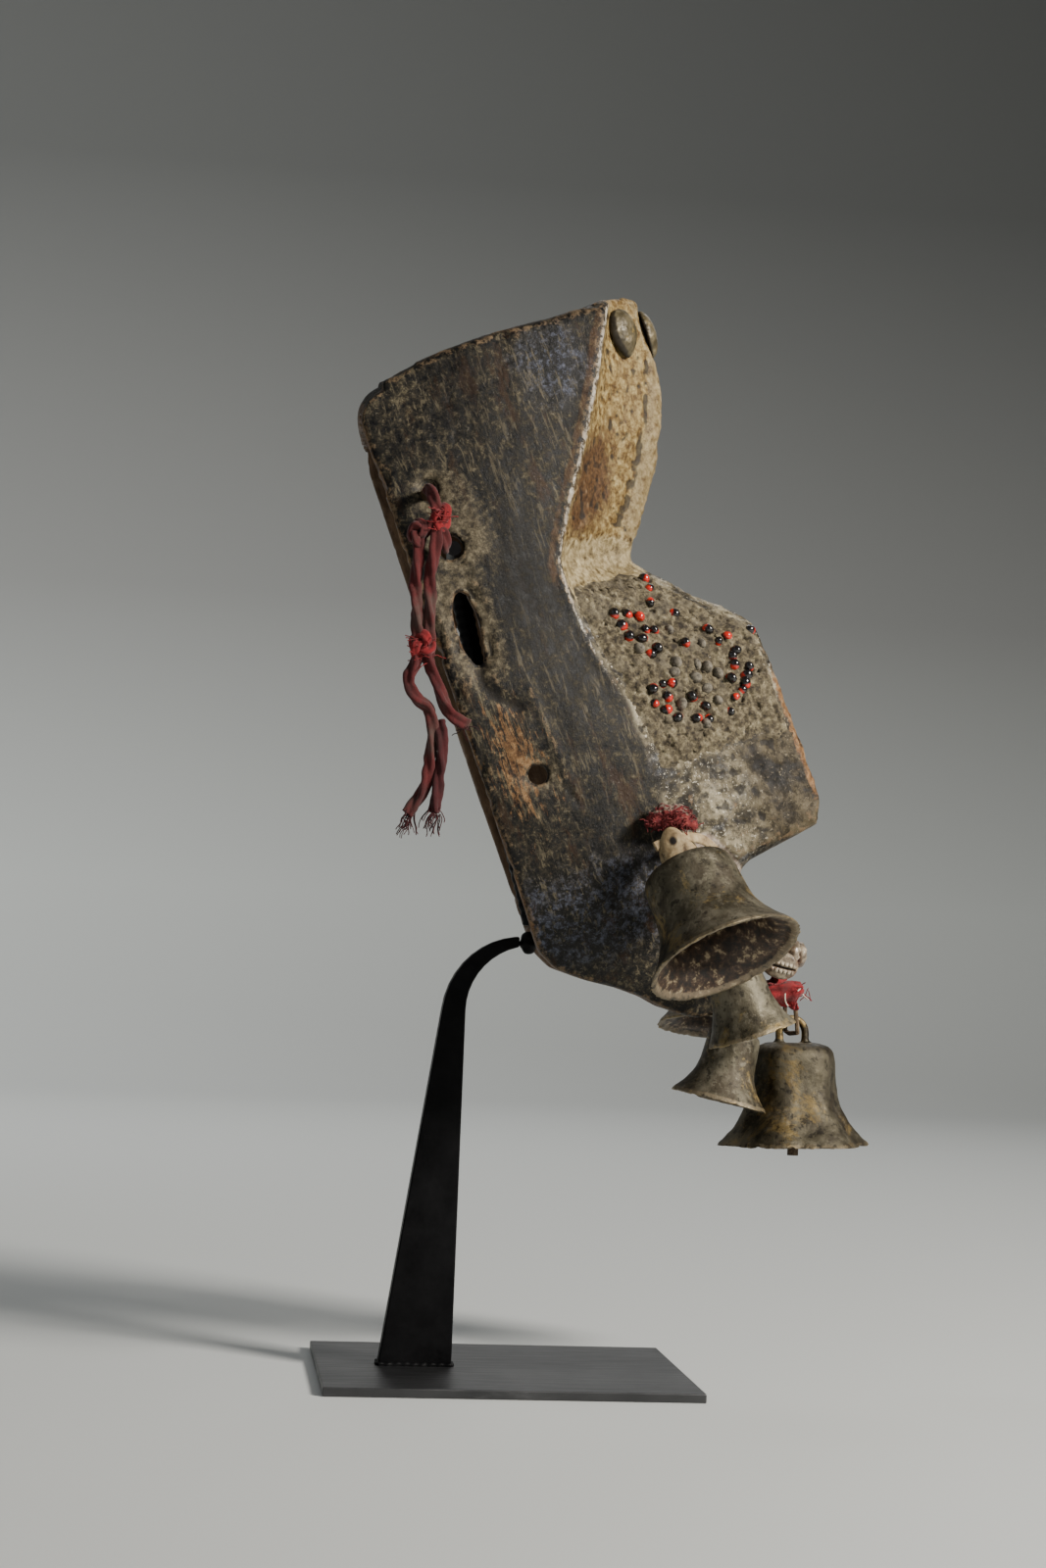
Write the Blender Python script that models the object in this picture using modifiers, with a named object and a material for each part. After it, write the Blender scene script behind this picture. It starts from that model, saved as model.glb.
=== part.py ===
"""Carved wooden face mask with cast bells, cowries and a cloth cord, on its steel stand.

Metres, +Z up. The origin is the centre of the base plate's underside. The mask faces +X and its
near side, the side with the cord, looks along -Y.
"""

import math

import bmesh
import bpy
from mathutils import Matrix, Vector

MM = 0.001
TOUCH = 0.3 * MM            # gap left between pieces that touch

# Stand
PLATE_LENGTH = 165 * MM
PLATE_DEPTH = 125 * MM
PLATE_THICKNESS = 4 * MM
PLATE_EDGE = 0.5 * MM
POST_THICKNESS = 8 * MM
POST_FRONT_X = -22.3 * MM   # the post's upright edge, from the plate's centre
POST_FOOT_WIDTH = 33 * MM
POST_NECK_WIDTH = 10.5 * MM
POST_NECK_HEIGHT = 159 * MM
ARM_RADIUS = 30 * MM        # inner bend where the post turns into its arm
ARM_RUN = 0.558 * MM        # the arm's straight end past the bend
ARM_END_THICKNESS = 4.8 * MM
ARM_TURN = math.radians(76)
POST_EDGE = 0.6 * MM
WELD_RADIUS = 4.8 * MM
WELD_SHAPE = (0.9, 1.05, 1.1)   # the bead's proportions along, across and up
SPINE_DIAMETER = 9 * MM
PIN_DIAMETER = 6.4 * MM
PIN_RECESS = 2.5 * MM       # the pin's ends stop this far inside the mask's sides

# Mask: how it hangs
MASK_LEAN = 21.0            # degrees, top back
MASK_TURN = -5.4            # degrees, face turned a little to the near side
SPINE_FOOT = Vector((0.6, 0, -242.3)) * MM   # in the mask's own frame
PIN_AT = Vector((20.5, 0, -75.5)) * MM
SPINE_START = Vector((2.4, 0, 2.2)) * MM    # from the top of the weld
SPINE_ROUTE = [Vector((6, 0, -205)) * MM, Vector((9, 0, -168)) * MM, Vector((13.5, 0, -138)) * MM,
               Vector((17, 0, -112)) * MM]

# Mask: carved form, in millimetres of its own frame. Height runs up the rim's plane from the top
# corner, forward runs out of that plane, and half widths run from the middle to each side.
TOP = 4.0
RIM_HALF_WIDTH = [(-304, 14), (-297, 24), (-275, 36), (-250, 47), (-235, 54), (-200, 63), (-150, 70),
                  (-90, 70), (-40, 64), (4, 55)]
RIM_FORWARD = [(-304, 60), (-297, 48), (-283, 34.5), (-271, 16), (-261, 4), (-253, 0), (4, 0)]
RIDGE_FORWARD = [(-304, 64), (-297, 63), (-262, 61), (-240, 65), (-210, 69), (-181, 71), (-151, 67.5),
                 (-120, 61.5), (-98, 61.5), (-86, 66), (-71, 75), (-52, 87), (-37, 96), (-8, 112.5),
                 (4, 119.5)]
RIDGE_HALF_WIDTH = [(-304, 13), (-285, 30), (-262, 41), (-240, 50), (-200, 55), (-165, 58), (-95, 58),
                    (-40, 54), (4, 48)]
EDGE_FORWARD = [(-304, 72), (-298, 86), (-288, 93), (-277, 91), (-262, 87), (-250, 92), (-244.5, 99),
                (-239, 136), (-232, 140), (-221, 141.5), (-150, 140), (-143, 136), (-126, 117),
                (-113, 105), (-102, 95.5), (-95, 92), (-82, 98), (-72, 105), (-57, 114.7),
                (-41, 124.6), (-16, 133), (4, 136)]
EDGE_HALF_WIDTH = [(-304, 8), (-285, 24), (-262, 30), (-244, 30), (-221, 28), (-145, 21), (-110, 15),
                   (-95, 12), (-60, 11), (4, 11)]
CREST_FORWARD = [(-304, 76), (-298, 91), (-288, 99), (-277, 97), (-262, 92), (-250, 97), (-244.5, 102),
                 (-239, 138), (-232, 142), (-221, 144), (-150, 143), (-141, 142), (-126, 125),
                 (-113, 113.5), (-102, 102.5), (-95.5, 98.6), (-91, 102), (-78, 112), (-58, 125.5),
                 (-43, 132.8), (-31, 137.5), (-21, 139.5), (4, 140)]
SIDE_STEPS = 6              # points from the rim to the ridge
FACE_STEPS = 6              # points from the ridge to the front edge
KEEL_STEPS = 3              # points from the front edge to the crest
LEVELS = [4, -3, -12, -22, -32, -44, -56, -68, -78, -86, -92, -97, -103, -112, -122, -133, -142, -148,
          -160, -175, -190, -205, -220, -231, -238.5, -244.5, -252, -262, -270, -278, -287, -294,
          -300, -304]
TOP_RISE = 11.5             # the top's arch over its width
TOP_BACK_DROP = 9.0         # how far the top comes down at its back corner
TOP_BACK_RADIUS = 24.0
TOP_ARCH_HALF_WIDTH = 54.0
TOP_LIFT = 6.5              # how far the side's top edge bows up between its corners
TOP_FRONT_START = 70.0
TOP_FRONT_DROP = 6.5
FOOT_RECESS = 11.0          # the back edge of the chin stands forward of the stand's spine
FOOT_RECESS_START = -225.0
FOOT_RECESS_RUN = 12.0
SIDE_BULGE = 4.5
BULGE_SPAN = 60.0           # side width over which the bulge is full
BROW_HOLLOW = 5.0           # hollow of the two front facets above the nose
BROW_HOLLOW_START = -100.0
BROW_HOLLOW_RUN = 40.0

# Mask: hollow and openings
SIDE_WALL = 9.0
FRONT_WALL = 20.0
ROOF = 13.0
FLOOR = 13.0
HOLLOW_FORWARD = [(-304, 60), (-250, 72), (-225, 86), (-150, 88), (-100, 72), (-40, 100), (4, 104)]
CUT_REACH = 90.0            # half length of the cutters that pass through both sides
CORD_HOLE = (18.3, -48.7, 8.2)          # forward, height, diameter
PIN_HOLE = (19.5, -74.6, 11.0)
LOW_HOLE = (23.6, -179.7, 9.2)
SLOT_BACK = [(14.6, -93.5), (11.3, -101), (10.4, -109), (10.8, -120), (13.2, -127.5)]
SLOT_FRONT = [(17.8, -127.6), (19.3, -117), (20.6, -105.5), (18.6, -95.5), (16.6, -92.6)]
MOUTH_HALF_WIDTH = 46.6
MOUTH_HEIGHT = 13.0
MOUTH_MIDDLE = -267.6
MOUTH_CORNER_RISE = 34.0
MOUTH_BACK = (50.0, 16.0)      # forward at the middle, and how much more at the corners
MOUTH_FRONT = (116.0, -26.0)

# Studs of the brow
STUD_WIDTH = 19 * MM
STUD_LENGTH = 22 * MM
STUD_HEIGHT = 5.5 * MM
STUD_TAPER = 0.38           # share of the width lost at the point
STUD_POINT = 0.12           # share of the length that the point adds
SEAT_REACH = 12 * MM        # the seat is cut this far out of the brow
STUD_CENTRE = 0.5           # height of their middles in the mask frame, in millimetres
STUDS = {                   # place across the brow, how far its back stands out of it
    "brow_stud_near": (-19.5, 1.2),
    "brow_stud_middle": (0, -1.0),
    "brow_stud_far": (19.5, 1.2),
}

# Mud crust on both cheeks, with rings of seeds: share down, share along, radius, count
CRUST_LEVELS = [-103, -112, -122, -133, -142, -148, -160, -175, -190]
CRUST_GAP = 1.0
CRUST_THICKNESS = 1.6
CRUST_HEIGHT = 88.0         # the crust's span down the cheek
CRUST_WIDTH = 62.0
SEED_SIZE = 4.6
SEED_RISE = 0.7 * MM
SEED_RINGS = [(0.32, 0.42, 9.0, 6), (0.68, 0.62, 18.0, 11)]

# Bells: rim diameter, crown diameter, height, mouth centre from the mask's top back corner, axis out
# of the mouth, turn of the loop
BELL_WALL = 2.4 * MM
CROWN_WALL = 1.6 * BELL_WALL
BELL_SIDES = 18
LOOP_BAR = 3.8 * MM
LOOP_SUNK = 1.2 * MM        # the loop's feet are cast this far into the crown
BELLS = {
    "bell_near_cheek": (68, 40, 47, (157.4, -111.2, -235.1), (0.33, -0.45, -0.83), -20),
    "bell_near_jaw": (40, 24, 38, (179.9, -63.2, -268.1), (0.33, -0.02, -0.93), 80),
    "bell_low_jaw": (44, 24, 33, (174.4, -21.2, -299.6), (-0.22, -0.03, -0.97), 80),
    "bell_chin": (67, 38, 47, (214, -1.2, -320.1), (0.03, -0.03, -1.0), 15),
    "bell_far_cheek": (50, 28, 36, (179.4, 29.8, -268.1), (-0.05, -0.24, -0.97), 80),
}

# Chin: cloth pad and cowries, in the mask frame
CLOTH_SIZE = (25, 42, 11.6)
CLOTH_AT = (101.6, 0, -306.6)
CLOTH_TILT = 18
CLOTH_ROUNDING = 3.5 * MM
CLOTH_BED = [(101.2, -7), (103.2, -7), (109.6, 22), (101.2, 22)]   # fold behind the cowries
CLOTH_BED_HEIGHTS = (-304, -286)
COWRIE_SIZE = (17.5, 12.5, 9.5)
COWRIE_EGG = 0.22           # how much broader one end is
COWRIE_BASE = 0.26          # share of the height from the middle down to the flat base
COWRIE_SLIT = (0.8, 1.3, 2.4)   # share of the length, width and depth in millimetres
COWRIES = {
    "cowrie_near": ((100.5, -22.5, -292.5), (-75, 32, 0)),
    "cowrie_middle": ((110.5, -1.5, -290.5), (-60, 0, 92)),
    "cowrie_far": ((115, 17.5, -293), (-70, 0, 100)),
}
YARN_SIZE = (20, 8, 10)
YARN_AT = (72, -61.5, -213)
YARN_ROUNDING = 2.0 * MM

# Hangers, from the mask's top back corner, upright
THONG_DIAMETER = 2.2 * MM
STRAP_WIDTH = 6.4 * MM
STRAP_THICKNESS = 2.0 * MM
STRAP_ROOT = (147.4, -65.4, -188.8)
STRAP_END = (141.4, -100.2, -186.1)
THONGS = {
    "thong_near_jaw": ("bell_near_jaw", (157.9, -51.7, -222.1), (172.4, -48.7, -223.1)),
    "thong_low_jaw": ("bell_low_jaw", (175.6, -21.2, -259.3), (184.7, -21, -252.7)),
    "thong_far_jaw": ("bell_far_cheek", (174, 16.9, -223.1), (185, 11.6, -223.3)),
    "thong_chin": ("bell_chin", (211.4, -8.2, -256.1), (209.4, 4, -251.1)),
}

# Cloth cord on the near side, from the same corner
CORD_DIAMETER = 4.6 * MM
CORD_KNOTS = {
    "knot_upper": ((32.6, -81.2, -52.1), (9, 8, 14), 15),
    "knot_beside": ((23, -81.2, -58.6), (9, 8, 13), 0),
    "knot_middle": ((27, -82.2, -107.1), (12, 9, 13.5), 10),
}
CORD_STRANDS = {
    "cord_from_hole": [(27.9, -68.2, -38.6), (28.2, -76.7, -39.1), (29.6, -80.7, -43.3)],
    "cord_to_pin": [(34.2, -80.7, -59.6), (35.2, -78.7, -62.1), (35.7, -75, -63.7)],
    "cord_left_strand": [(24, -81.2, -65.7), (23.2, -81.7, -81.1), (24.8, -82.2, -99.8)],
    "cord_right_strand": [(30.6, -83.2, -62.6), (29.4, -82.2, -76.1), (29.4, -81.7, -88.1),
                          (30, -82.2, -99.8)],
    "cord_loop": [(24.4, -82.2, -114.5), (21.9, -82.2, -122.1), (24.9, -82.2, -129.6),
                  (30.4, -82.2, -133.1), (32.4, -82.2, -140.1), (30.9, -82.2, -158.1),
                  (26.4, -82.2, -174.1), (21.9, -82.2, -182.1)],
    "cord_right_tail": [(30.4, -82.2, -114.3), (33.9, -82.2, -123.1), (37.9, -82.2, -132.1),
                        (42.4, -81.2, -137.1), (47.9, -79.2, -140.1)],
    "cord_tail": [(37.1, -83.2, -145.1), (37.4, -83.2, -158.1), (35.4, -83.2, -171.1),
                  (34.1, -83.2, -180.6)],
}
CLAPPER_BELL = "bell_chin"
CLAPPER_DIAMETER = 5.2 * MM
CLAPPER_DROP = 4.5 * MM     # the clapper's tip shows this far below the rim


def smooth(points, at):
    """Value at one place on the smooth curve through (place, value) points, without overshoot."""
    if at <= points[0][0]:
        return points[0][1]
    if at >= points[-1][0]:
        return points[-1][1]
    steps = [(b[1] - a[1]) / (b[0] - a[0]) for a, b in zip(points, points[1:])]
    slopes = [steps[0]]
    for before, after in zip(steps, steps[1:]):
        same_way = before * after > 0
        slopes.append(2 * before * after / (before + after) if same_way else 0.0)
    slopes.append(steps[-1])
    for k, (a, b) in enumerate(zip(points, points[1:])):
        if at <= b[0]:
            run = b[0] - a[0]
            t = (at - a[0]) / run
            return ((1 + 2 * t) * (1 - t) ** 2 * a[1] + t * (1 - t) ** 2 * run * slopes[k]
                    + t * t * (3 - 2 * t) * b[1] - t * t * (1 - t) * run * slopes[k + 1])


def material(name, colour, roughness, metallic=0.0):
    made = bpy.data.materials.new(name)
    made.use_nodes = True
    shader = made.node_tree.nodes["Principled BSDF"]
    shader.inputs["Base Color"].default_value = (*colour, 1)
    shader.inputs["Roughness"].default_value = roughness
    shader.inputs["Metallic"].default_value = metallic
    return made


def clear_scene():
    for old in list(bpy.data.objects):
        bpy.data.objects.remove(old, do_unlink=True)


def collection(name):
    made = bpy.data.collections.new(name)
    bpy.context.scene.collection.children.link(made)
    return made


def add_object(name, data, parent=None, finish=None, group=None):
    made = bpy.data.objects.new(name, data)
    (group or PARTS).objects.link(made)
    made.parent = parent
    if finish and not data.materials:
        data.materials.append(finish)
    return made


def mesh_from(name, build):
    """A mesh filled in by build(bm)."""
    mesh = bpy.data.meshes.new(name)
    bm = bmesh.new()
    build(bm)
    bmesh.ops.recalc_face_normals(bm, faces=bm.faces)
    bm.to_mesh(mesh)
    bm.free()
    return mesh


def as_mesh(source, name):
    """The evaluated shape of an object as a new plain mesh in its parent's frame."""
    bpy.context.view_layer.update()
    mesh = bpy.data.meshes.new_from_object(source.evaluated_get(bpy.context.evaluated_depsgraph_get()))
    mesh.name = name
    mesh.transform(source.matrix_basis)
    bm = bmesh.new()
    bm.from_mesh(mesh)
    bmesh.ops.remove_doubles(bm, verts=bm.verts, dist=0.00002)
    bmesh.ops.recalc_face_normals(bm, faces=bm.faces)
    bm.to_mesh(mesh)
    bm.free()
    return mesh


def cut(target, cutter, how="DIFFERENCE"):
    boolean = target.modifiers.new(cutter.name, "BOOLEAN")
    boolean.operation = how
    boolean.object = cutter
    boolean.solver = "EXACT"
    cutter.hide_render = True
    cutter.display_type = "WIRE"


def loft(bm, rings):
    """Quads between closed rings of points, with both ends filled."""
    rows = [[bm.verts.new(p) for p in ring] for ring in rings]
    for low, high in zip(rows, rows[1:]):
        for k in range(len(low)):
            nxt = (k + 1) % len(low)
            bm.faces.new((low[k], low[nxt], high[nxt], high[k]))
    for row in (rows[0], rows[-1]):
        centre = bm.verts.new(sum((v.co for v in row), Vector()) / len(row))
        for k in range(len(row)):
            bm.faces.new((row[k], row[(k + 1) % len(row)], centre))


def box(name, size, at, parent=None, finish=None, bevel=0.0):
    def build(bm):
        bmesh.ops.create_cube(bm, size=1.0)
        bmesh.ops.scale(bm, vec=size, verts=bm.verts)
    made = add_object(name, mesh_from(name, build), parent, finish)
    made.location = at
    if bevel:
        edge = made.modifiers.new("edge", "BEVEL")
        edge.width = bevel
        edge.segments = 2
    return made


def tube(name, route, radius, parent=None, finish=None, sides=3, steps=1.0):
    """A round bar or cord on a smooth curve through its route's points, with filled caps."""
    points = spread(route, radius * 4 * steps)
    curve = bpy.data.curves.new(name, "CURVE")
    curve.dimensions = "3D"
    curve.bevel_depth = radius
    curve.bevel_resolution = sides
    curve.use_fill_caps = True
    line = curve.splines.new("POLY")
    line.points.add(len(points) - 1)
    for spot, p in zip(line.points, points):
        spot.co = (*p, 1)
    return add_object(name, curve, parent, finish)


def spread(route, pitch):
    """Points about one pitch apart on the Catmull-Rom curve through a route."""
    route = [Vector(p) for p in route]
    if len(route) == 2:
        return route
    ends = [2 * route[0] - route[1], *route, 2 * route[-1] - route[-2]]
    fine = []
    for k in range(1, len(ends) - 2):
        a, b, c, d = ends[k - 1:k + 3]
        for j in range(24):
            t = j / 24
            fine.append(0.5 * (2 * b + (c - a) * t + (2 * a - 5 * b + 4 * c - d) * t * t
                               + (3 * b - a - 3 * c + d) * t ** 3))
    fine.append(route[-1])
    reach = [0.0]
    for a, b in zip(fine, fine[1:]):
        reach.append(reach[-1] + (b - a).length)
    count = max(2, round(reach[-1] / pitch) + 1)
    out = []
    k = 0
    for j in range(count):
        want = reach[-1] * j / (count - 1)
        while k < len(reach) - 2 and reach[k + 1] < want:
            k += 1
        part = (want - reach[k]) / max(reach[k + 1] - reach[k], 1e-9)
        out.append(fine[k].lerp(fine[k + 1], min(1.0, part)))
    return out


def turn_to(axis, roll_degrees):
    """Rotation whose Z axis is the given one, turned about it."""
    z = Vector(axis).normalized()
    x = Vector((1, 0, 0))
    if abs(z.x) > 0.95:
        x = Vector((0, 1, 0))
    y = z.cross(x).normalized()
    x = y.cross(z)
    frame = Matrix((x, y, z)).transposed()
    return (frame @ Matrix.Rotation(math.radians(roll_degrees), 3, "Z")).to_4x4()


# Mask

def half_outline(level):
    """Outer half outline of the mask at one height: from the rim, over the ridge, to the crest."""
    rim = Vector((smooth(RIM_FORWARD, level), smooth(RIM_HALF_WIDTH, level)))
    ridge = Vector((smooth(RIDGE_FORWARD, level), smooth(RIDGE_HALF_WIDTH, level)))
    edge = Vector((smooth(EDGE_FORWARD, level), smooth(EDGE_HALF_WIDTH, level)))
    crest = Vector((smooth(CREST_FORWARD, level), 0))
    points = []
    bulge = SIDE_BULGE * min(1.0, (ridge - rim).length / BULGE_SPAN)
    for k in range(SIDE_STEPS):
        t = k / SIDE_STEPS
        p = rim.lerp(ridge, t)
        points.append(Vector((p.x, p.y + bulge * math.sin(math.pi * t))))
    hollow = BROW_HOLLOW * min(1.0, max(0.0, (level - BROW_HOLLOW_START) / BROW_HOLLOW_RUN))
    for k in range(FACE_STEPS):
        t = k / FACE_STEPS
        p = ridge.lerp(edge, t)
        across = Vector((-(edge - ridge).y, (edge - ridge).x)).normalized()
        points.append(p - across * hollow * math.sin(math.pi * t))
    for k in range(KEEL_STEPS + 1):
        t = k / KEEL_STEPS
        p = edge.lerp(crest, t)
        swell = 0.25 * (crest.x - edge.x) * math.sin(math.pi * t)
        points.append(Vector((p.x + swell, p.y)))
    return points


def top_warp(forward, across, level):
    """How far the arched top lifts a point of the mask, fading out below the brow."""
    fade = max(0.0, min(1.0, (level + 60) / (60 + TOP)))
    arch = TOP_RISE * (1 - min(1.0, abs(across) / TOP_ARCH_HALF_WIDTH) ** 2)
    back = TOP_BACK_DROP * math.exp(-max(0.0, forward) / TOP_BACK_RADIUS)
    front = TOP_FRONT_DROP * max(0.0, forward - TOP_FRONT_START) / TOP_FRONT_START
    return (arch + TOP_LIFT - back - front) * fade * fade


def mask_ring(level):
    half = half_outline(level)
    near = [(p.x, -p.y) for p in half]
    far = [(p.x, p.y) for p in reversed(half[:-1])]
    ring = near + far
    recess = FOOT_RECESS * max(0.0, min(1.0, (FOOT_RECESS_START - level) / FOOT_RECESS_RUN))
    middle_back = [(half[0].x + recess * deep, half[0].y * side)
                   for side, deep in ((0.6, 0.0), (0.3, 0.8), (0.0, 1.0), (-0.3, 0.8), (-0.6, 0.0))]
    return ring + middle_back


def mask_shell():
    """The carved block from its arched top down to the chin."""
    rings = []
    for level in LEVELS:
        rings.append([Vector((x, y, level + top_warp(x, y, level))) * MM for x, y in mask_ring(level)])
    worn = []
    for inset, lift in ((0.93, 2.5), (0.6, 3.4)):
        centre = sum(rings[0], Vector()) / len(rings[0])
        worn.insert(0, [centre + (p - centre) * inset + Vector((0, 0, lift * MM)) for p in rings[0]])
    return mesh_from("mask", lambda bm: loft(bm, worn + rings))


def hollow_ring(level):
    """Inner outline: the side walls, and the depth that the carver hollowed."""
    wide = smooth(RIM_HALF_WIDTH, level) - SIDE_WALL
    ridge_wide = smooth(RIDGE_HALF_WIDTH, level) - SIDE_WALL
    deep = min(smooth(HOLLOW_FORWARD, level), smooth(CREST_FORWARD, level) - FRONT_WALL)
    ridge = min(smooth(RIDGE_FORWARD, level) - 8, deep - 4)
    back = -6.0
    floor_back = smooth(RIM_FORWARD, level - FLOOR)
    if floor_back > 0.01:
        back = min(floor_back + 4 + FOOT_RECESS, ridge - 12)
    half = [(back, wide), (0.5 * (back + ridge), wide + 1.5), (ridge, ridge_wide), (deep, ridge_wide * 0.45)]
    near = [(x, -y) for x, y in half]
    far = [(x, y) for x, y in reversed(half)]
    return near + [(deep + 2, 0)] + far


def hollow_cutter():
    levels = [TOP - ROOF, -30, -60, -85, -100, -130, -160, -190, -215, -236.3, -251.4, -263.2, -273]
    rings = []
    for level in levels:
        lift = top_warp(40, 0, level) * 0.6
        rings.append([Vector((x, y, level + lift)) * MM for x, y in hollow_ring(level)])
    return mesh_from("hollow", lambda bm: loft(bm, rings))


def side_hole(name, forward, height, diameter):
    def build(bm):
        bmesh.ops.create_cone(bm, cap_ends=True, segments=16, radius1=diameter / 2 * MM,
                              radius2=diameter / 2 * MM, depth=2 * CUT_REACH * MM)
        bmesh.ops.rotate(bm, matrix=Matrix.Rotation(math.radians(7), 3, "Z"), verts=bm.verts)
        bmesh.ops.rotate(bm, matrix=Matrix.Rotation(math.pi / 2, 3, "X"), verts=bm.verts)
    made = add_object(name, mesh_from(name, build), MASK_FRAME, group=CUTTERS)
    made.location = Vector((forward, 0, height)) * MM
    return made


def prism(name, outline, half_length):
    """A straight cutter across the mask with an outline in its forward-height plane."""
    def build(bm):
        rings = [[Vector((x, y, z)) * MM for x, z in outline] for y in (-half_length, half_length)]
        loft(bm, rings)
    return add_object(name, mesh_from(name, build), MASK_FRAME, group=CUTTERS)


def mouth_cutter():
    """A curved slot that runs up to both corners of the mouth."""
    def build(bm):
        rings = []
        steps = 12
        for k in range(steps + 1):
            t = 2 * k / steps - 1
            y = MOUTH_HALF_WIDTH * t
            middle = MOUTH_MIDDLE + MOUTH_CORNER_RISE * abs(t) ** 2.2
            half = 0.5 * MOUTH_HEIGHT * (1 - 0.45 * t * t)
            back = MOUTH_BACK[0] + MOUTH_BACK[1] * t * t
            front = MOUTH_FRONT[0] + MOUTH_FRONT[1] * t * t
            ring = [(back, middle - half), (front, middle - half), (front, middle + half),
                    (back, middle + half)]
            rings.append([Vector((x, y, z)) * MM for x, z in ring])
        loft(bm, rings)
    return add_object("mouth_cutter", mesh_from("mouth_cutter", build), MASK_FRAME, group=CUTTERS)


def make_mask():
    mask = add_object("mask", mask_shell(), MASK_FRAME, WOOD)
    cut(mask, add_object("hollow_cutter", hollow_cutter(), MASK_FRAME, group=CUTTERS))
    for name, hole in (("cord_hole", CORD_HOLE), ("pin_hole", PIN_HOLE), ("low_hole", LOW_HOLE)):
        cut(mask, side_hole(name, *hole))
    cut(mask, prism("side_slot", SLOT_BACK + SLOT_FRONT, CUT_REACH))
    cut(mask, mouth_cutter())
    return mask


def brow_surface(across, level):
    """Point and outward direction of the mask's front above the nose."""
    def at(y, u):
        half = half_outline(u)
        pairs = list(zip(half, half[1:]))
        for a, b in pairs[SIDE_STEPS:]:
            if b.y <= abs(y) <= a.y:
                t = (a.y - abs(y)) / max(a.y - b.y, 1e-6)
                x = a.x + (b.x - a.x) * t
                return Vector((x, y, u + top_warp(x, y, u)))
        return Vector((half[-1].x, y, u + top_warp(half[-1].x, y, u)))
    p = at(across, level)
    step = 5.0
    dy = at(across + step, level) - at(across - step, level)
    dz = at(across, level + step) - at(across, level - step)
    return p * MM, dy.cross(dz).normalized()


def drop_outline(sides, grow=0.0):
    """Outline of a drop, round above and narrowing to a soft point below."""
    points = []
    for k in range(sides):
        a = 2 * math.pi * k / sides
        low = max(0.0, -math.sin(a))
        points.append((math.cos(a) * (STUD_WIDTH / 2 * (1 - STUD_TAPER * low ** 2) + grow),
                       math.sin(a) * (STUD_LENGTH / 2 * (1 + STUD_POINT * low) + grow)))
    return points


def make_stud(mask, name, across, seat_out, height):
    """A drop-shaped domed boss that points down, set in a flat seat on the brow."""
    def dome(bm):
        rings = []
        for k in range(5):
            a = 0.5 * math.pi * k / 5
            rings.append([Vector((x * math.cos(a), y * math.cos(a), STUD_HEIGHT * math.sin(a)))
                          for x, y in drop_outline(16)])
        loft(bm, rings)

    def seat(bm):
        outline = drop_outline(16, TOUCH)
        loft(bm, [[Vector((x, y, z)) for x, y in outline] for z in (-TOUCH, SEAT_REACH)])
    level = height
    for _ in range(6):
        point, out = brow_surface(across, level)
        level += height - point.z / MM
    up = (Vector((0, 0, 1)) - out * out.z).normalized()
    frame = Matrix((up.cross(out), up, out)).transposed().to_4x4()
    place = Matrix.Translation(point + out * seat_out * MM) @ frame
    stud = add_object(name, mesh_from(name, dome), MASK_FRAME, STUD_METAL)
    stud.matrix_local = place
    stud.data.shade_smooth()
    seat_cutter = add_object(name + "_seat", mesh_from(name + "_seat", seat), MASK_FRAME, group=CUTTERS)
    seat_cutter.matrix_local = place
    cut(mask, seat_cutter)


# Mud crust with seeds

def crust_grid(side, lift):
    """Points over the cheek facet between the ridge and the front edge, lifted off it."""
    rows = []
    for level in CRUST_LEVELS:
        half = half_outline(level)[SIDE_STEPS + 1:SIDE_STEPS + FACE_STEPS + 1]
        row = []
        for k, p in enumerate(half):
            before, after = half[max(0, k - 1)], half[min(len(half) - 1, k + 1)]
            along = (after - before).normalized()
            out = Vector((-along.y, along.x))
            row.append(Vector((p.x + out.x * lift, side * (p.y + out.y * lift), level)) * MM)
        rows.append(row)
    return rows


def make_crust(name, side):
    def slab(bm):
        inner = crust_grid(side, CRUST_GAP)
        outer = crust_grid(side, CRUST_GAP + CRUST_THICKNESS)
        grids = [[[bm.verts.new(p) for p in row] for row in grid] for grid in (inner, outer)]
        rows, cols = len(inner), len(inner[0])
        for grid in grids:
            for i in range(rows - 1):
                for j in range(cols - 1):
                    bm.faces.new((grid[i][j], grid[i][j + 1], grid[i + 1][j + 1], grid[i + 1][j]))
        border = ([(0, j) for j in range(cols)] + [(i, cols - 1) for i in range(1, rows)]
                  + [(rows - 1, j) for j in range(cols - 2, -1, -1)]
                  + [(i, 0) for i in range(rows - 2, 0, -1)])
        for k in range(len(border)):
            (i, j), (m, n) = border[k], border[(k + 1) % len(border)]
            bm.faces.new((grids[0][i][j], grids[0][m][n], grids[1][m][n], grids[1][i][j]))

    def seeds(bm):
        top = crust_grid(side, CRUST_GAP + CRUST_THICKNESS)
        for ring_u, ring_t, ring_radius, count in SEED_RINGS:
            for k in range(count):
                a = 2 * math.pi * k / count
                place, out = on_grid(top, ring_u + ring_radius * math.sin(a) / CRUST_HEIGHT,
                                     ring_t + ring_radius * math.cos(a) / CRUST_WIDTH)
                made = bmesh.ops.create_uvsphere(bm, u_segments=6, v_segments=3,
                                                 radius=SEED_SIZE / 2 * MM)
                turned = Matrix.Translation(place + out * SEED_RISE) @ turn_to(out, 40 * k)
                bmesh.ops.transform(bm, matrix=turned, verts=made["verts"])
    crust = add_object(name, mesh_from(name, slab), MASK_FRAME, CRUST)
    bumps = add_object(name + "_seeds", mesh_from(name + "_seeds", seeds), MASK_FRAME, group=CUTTERS)
    cut(crust, bumps, "UNION")


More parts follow.
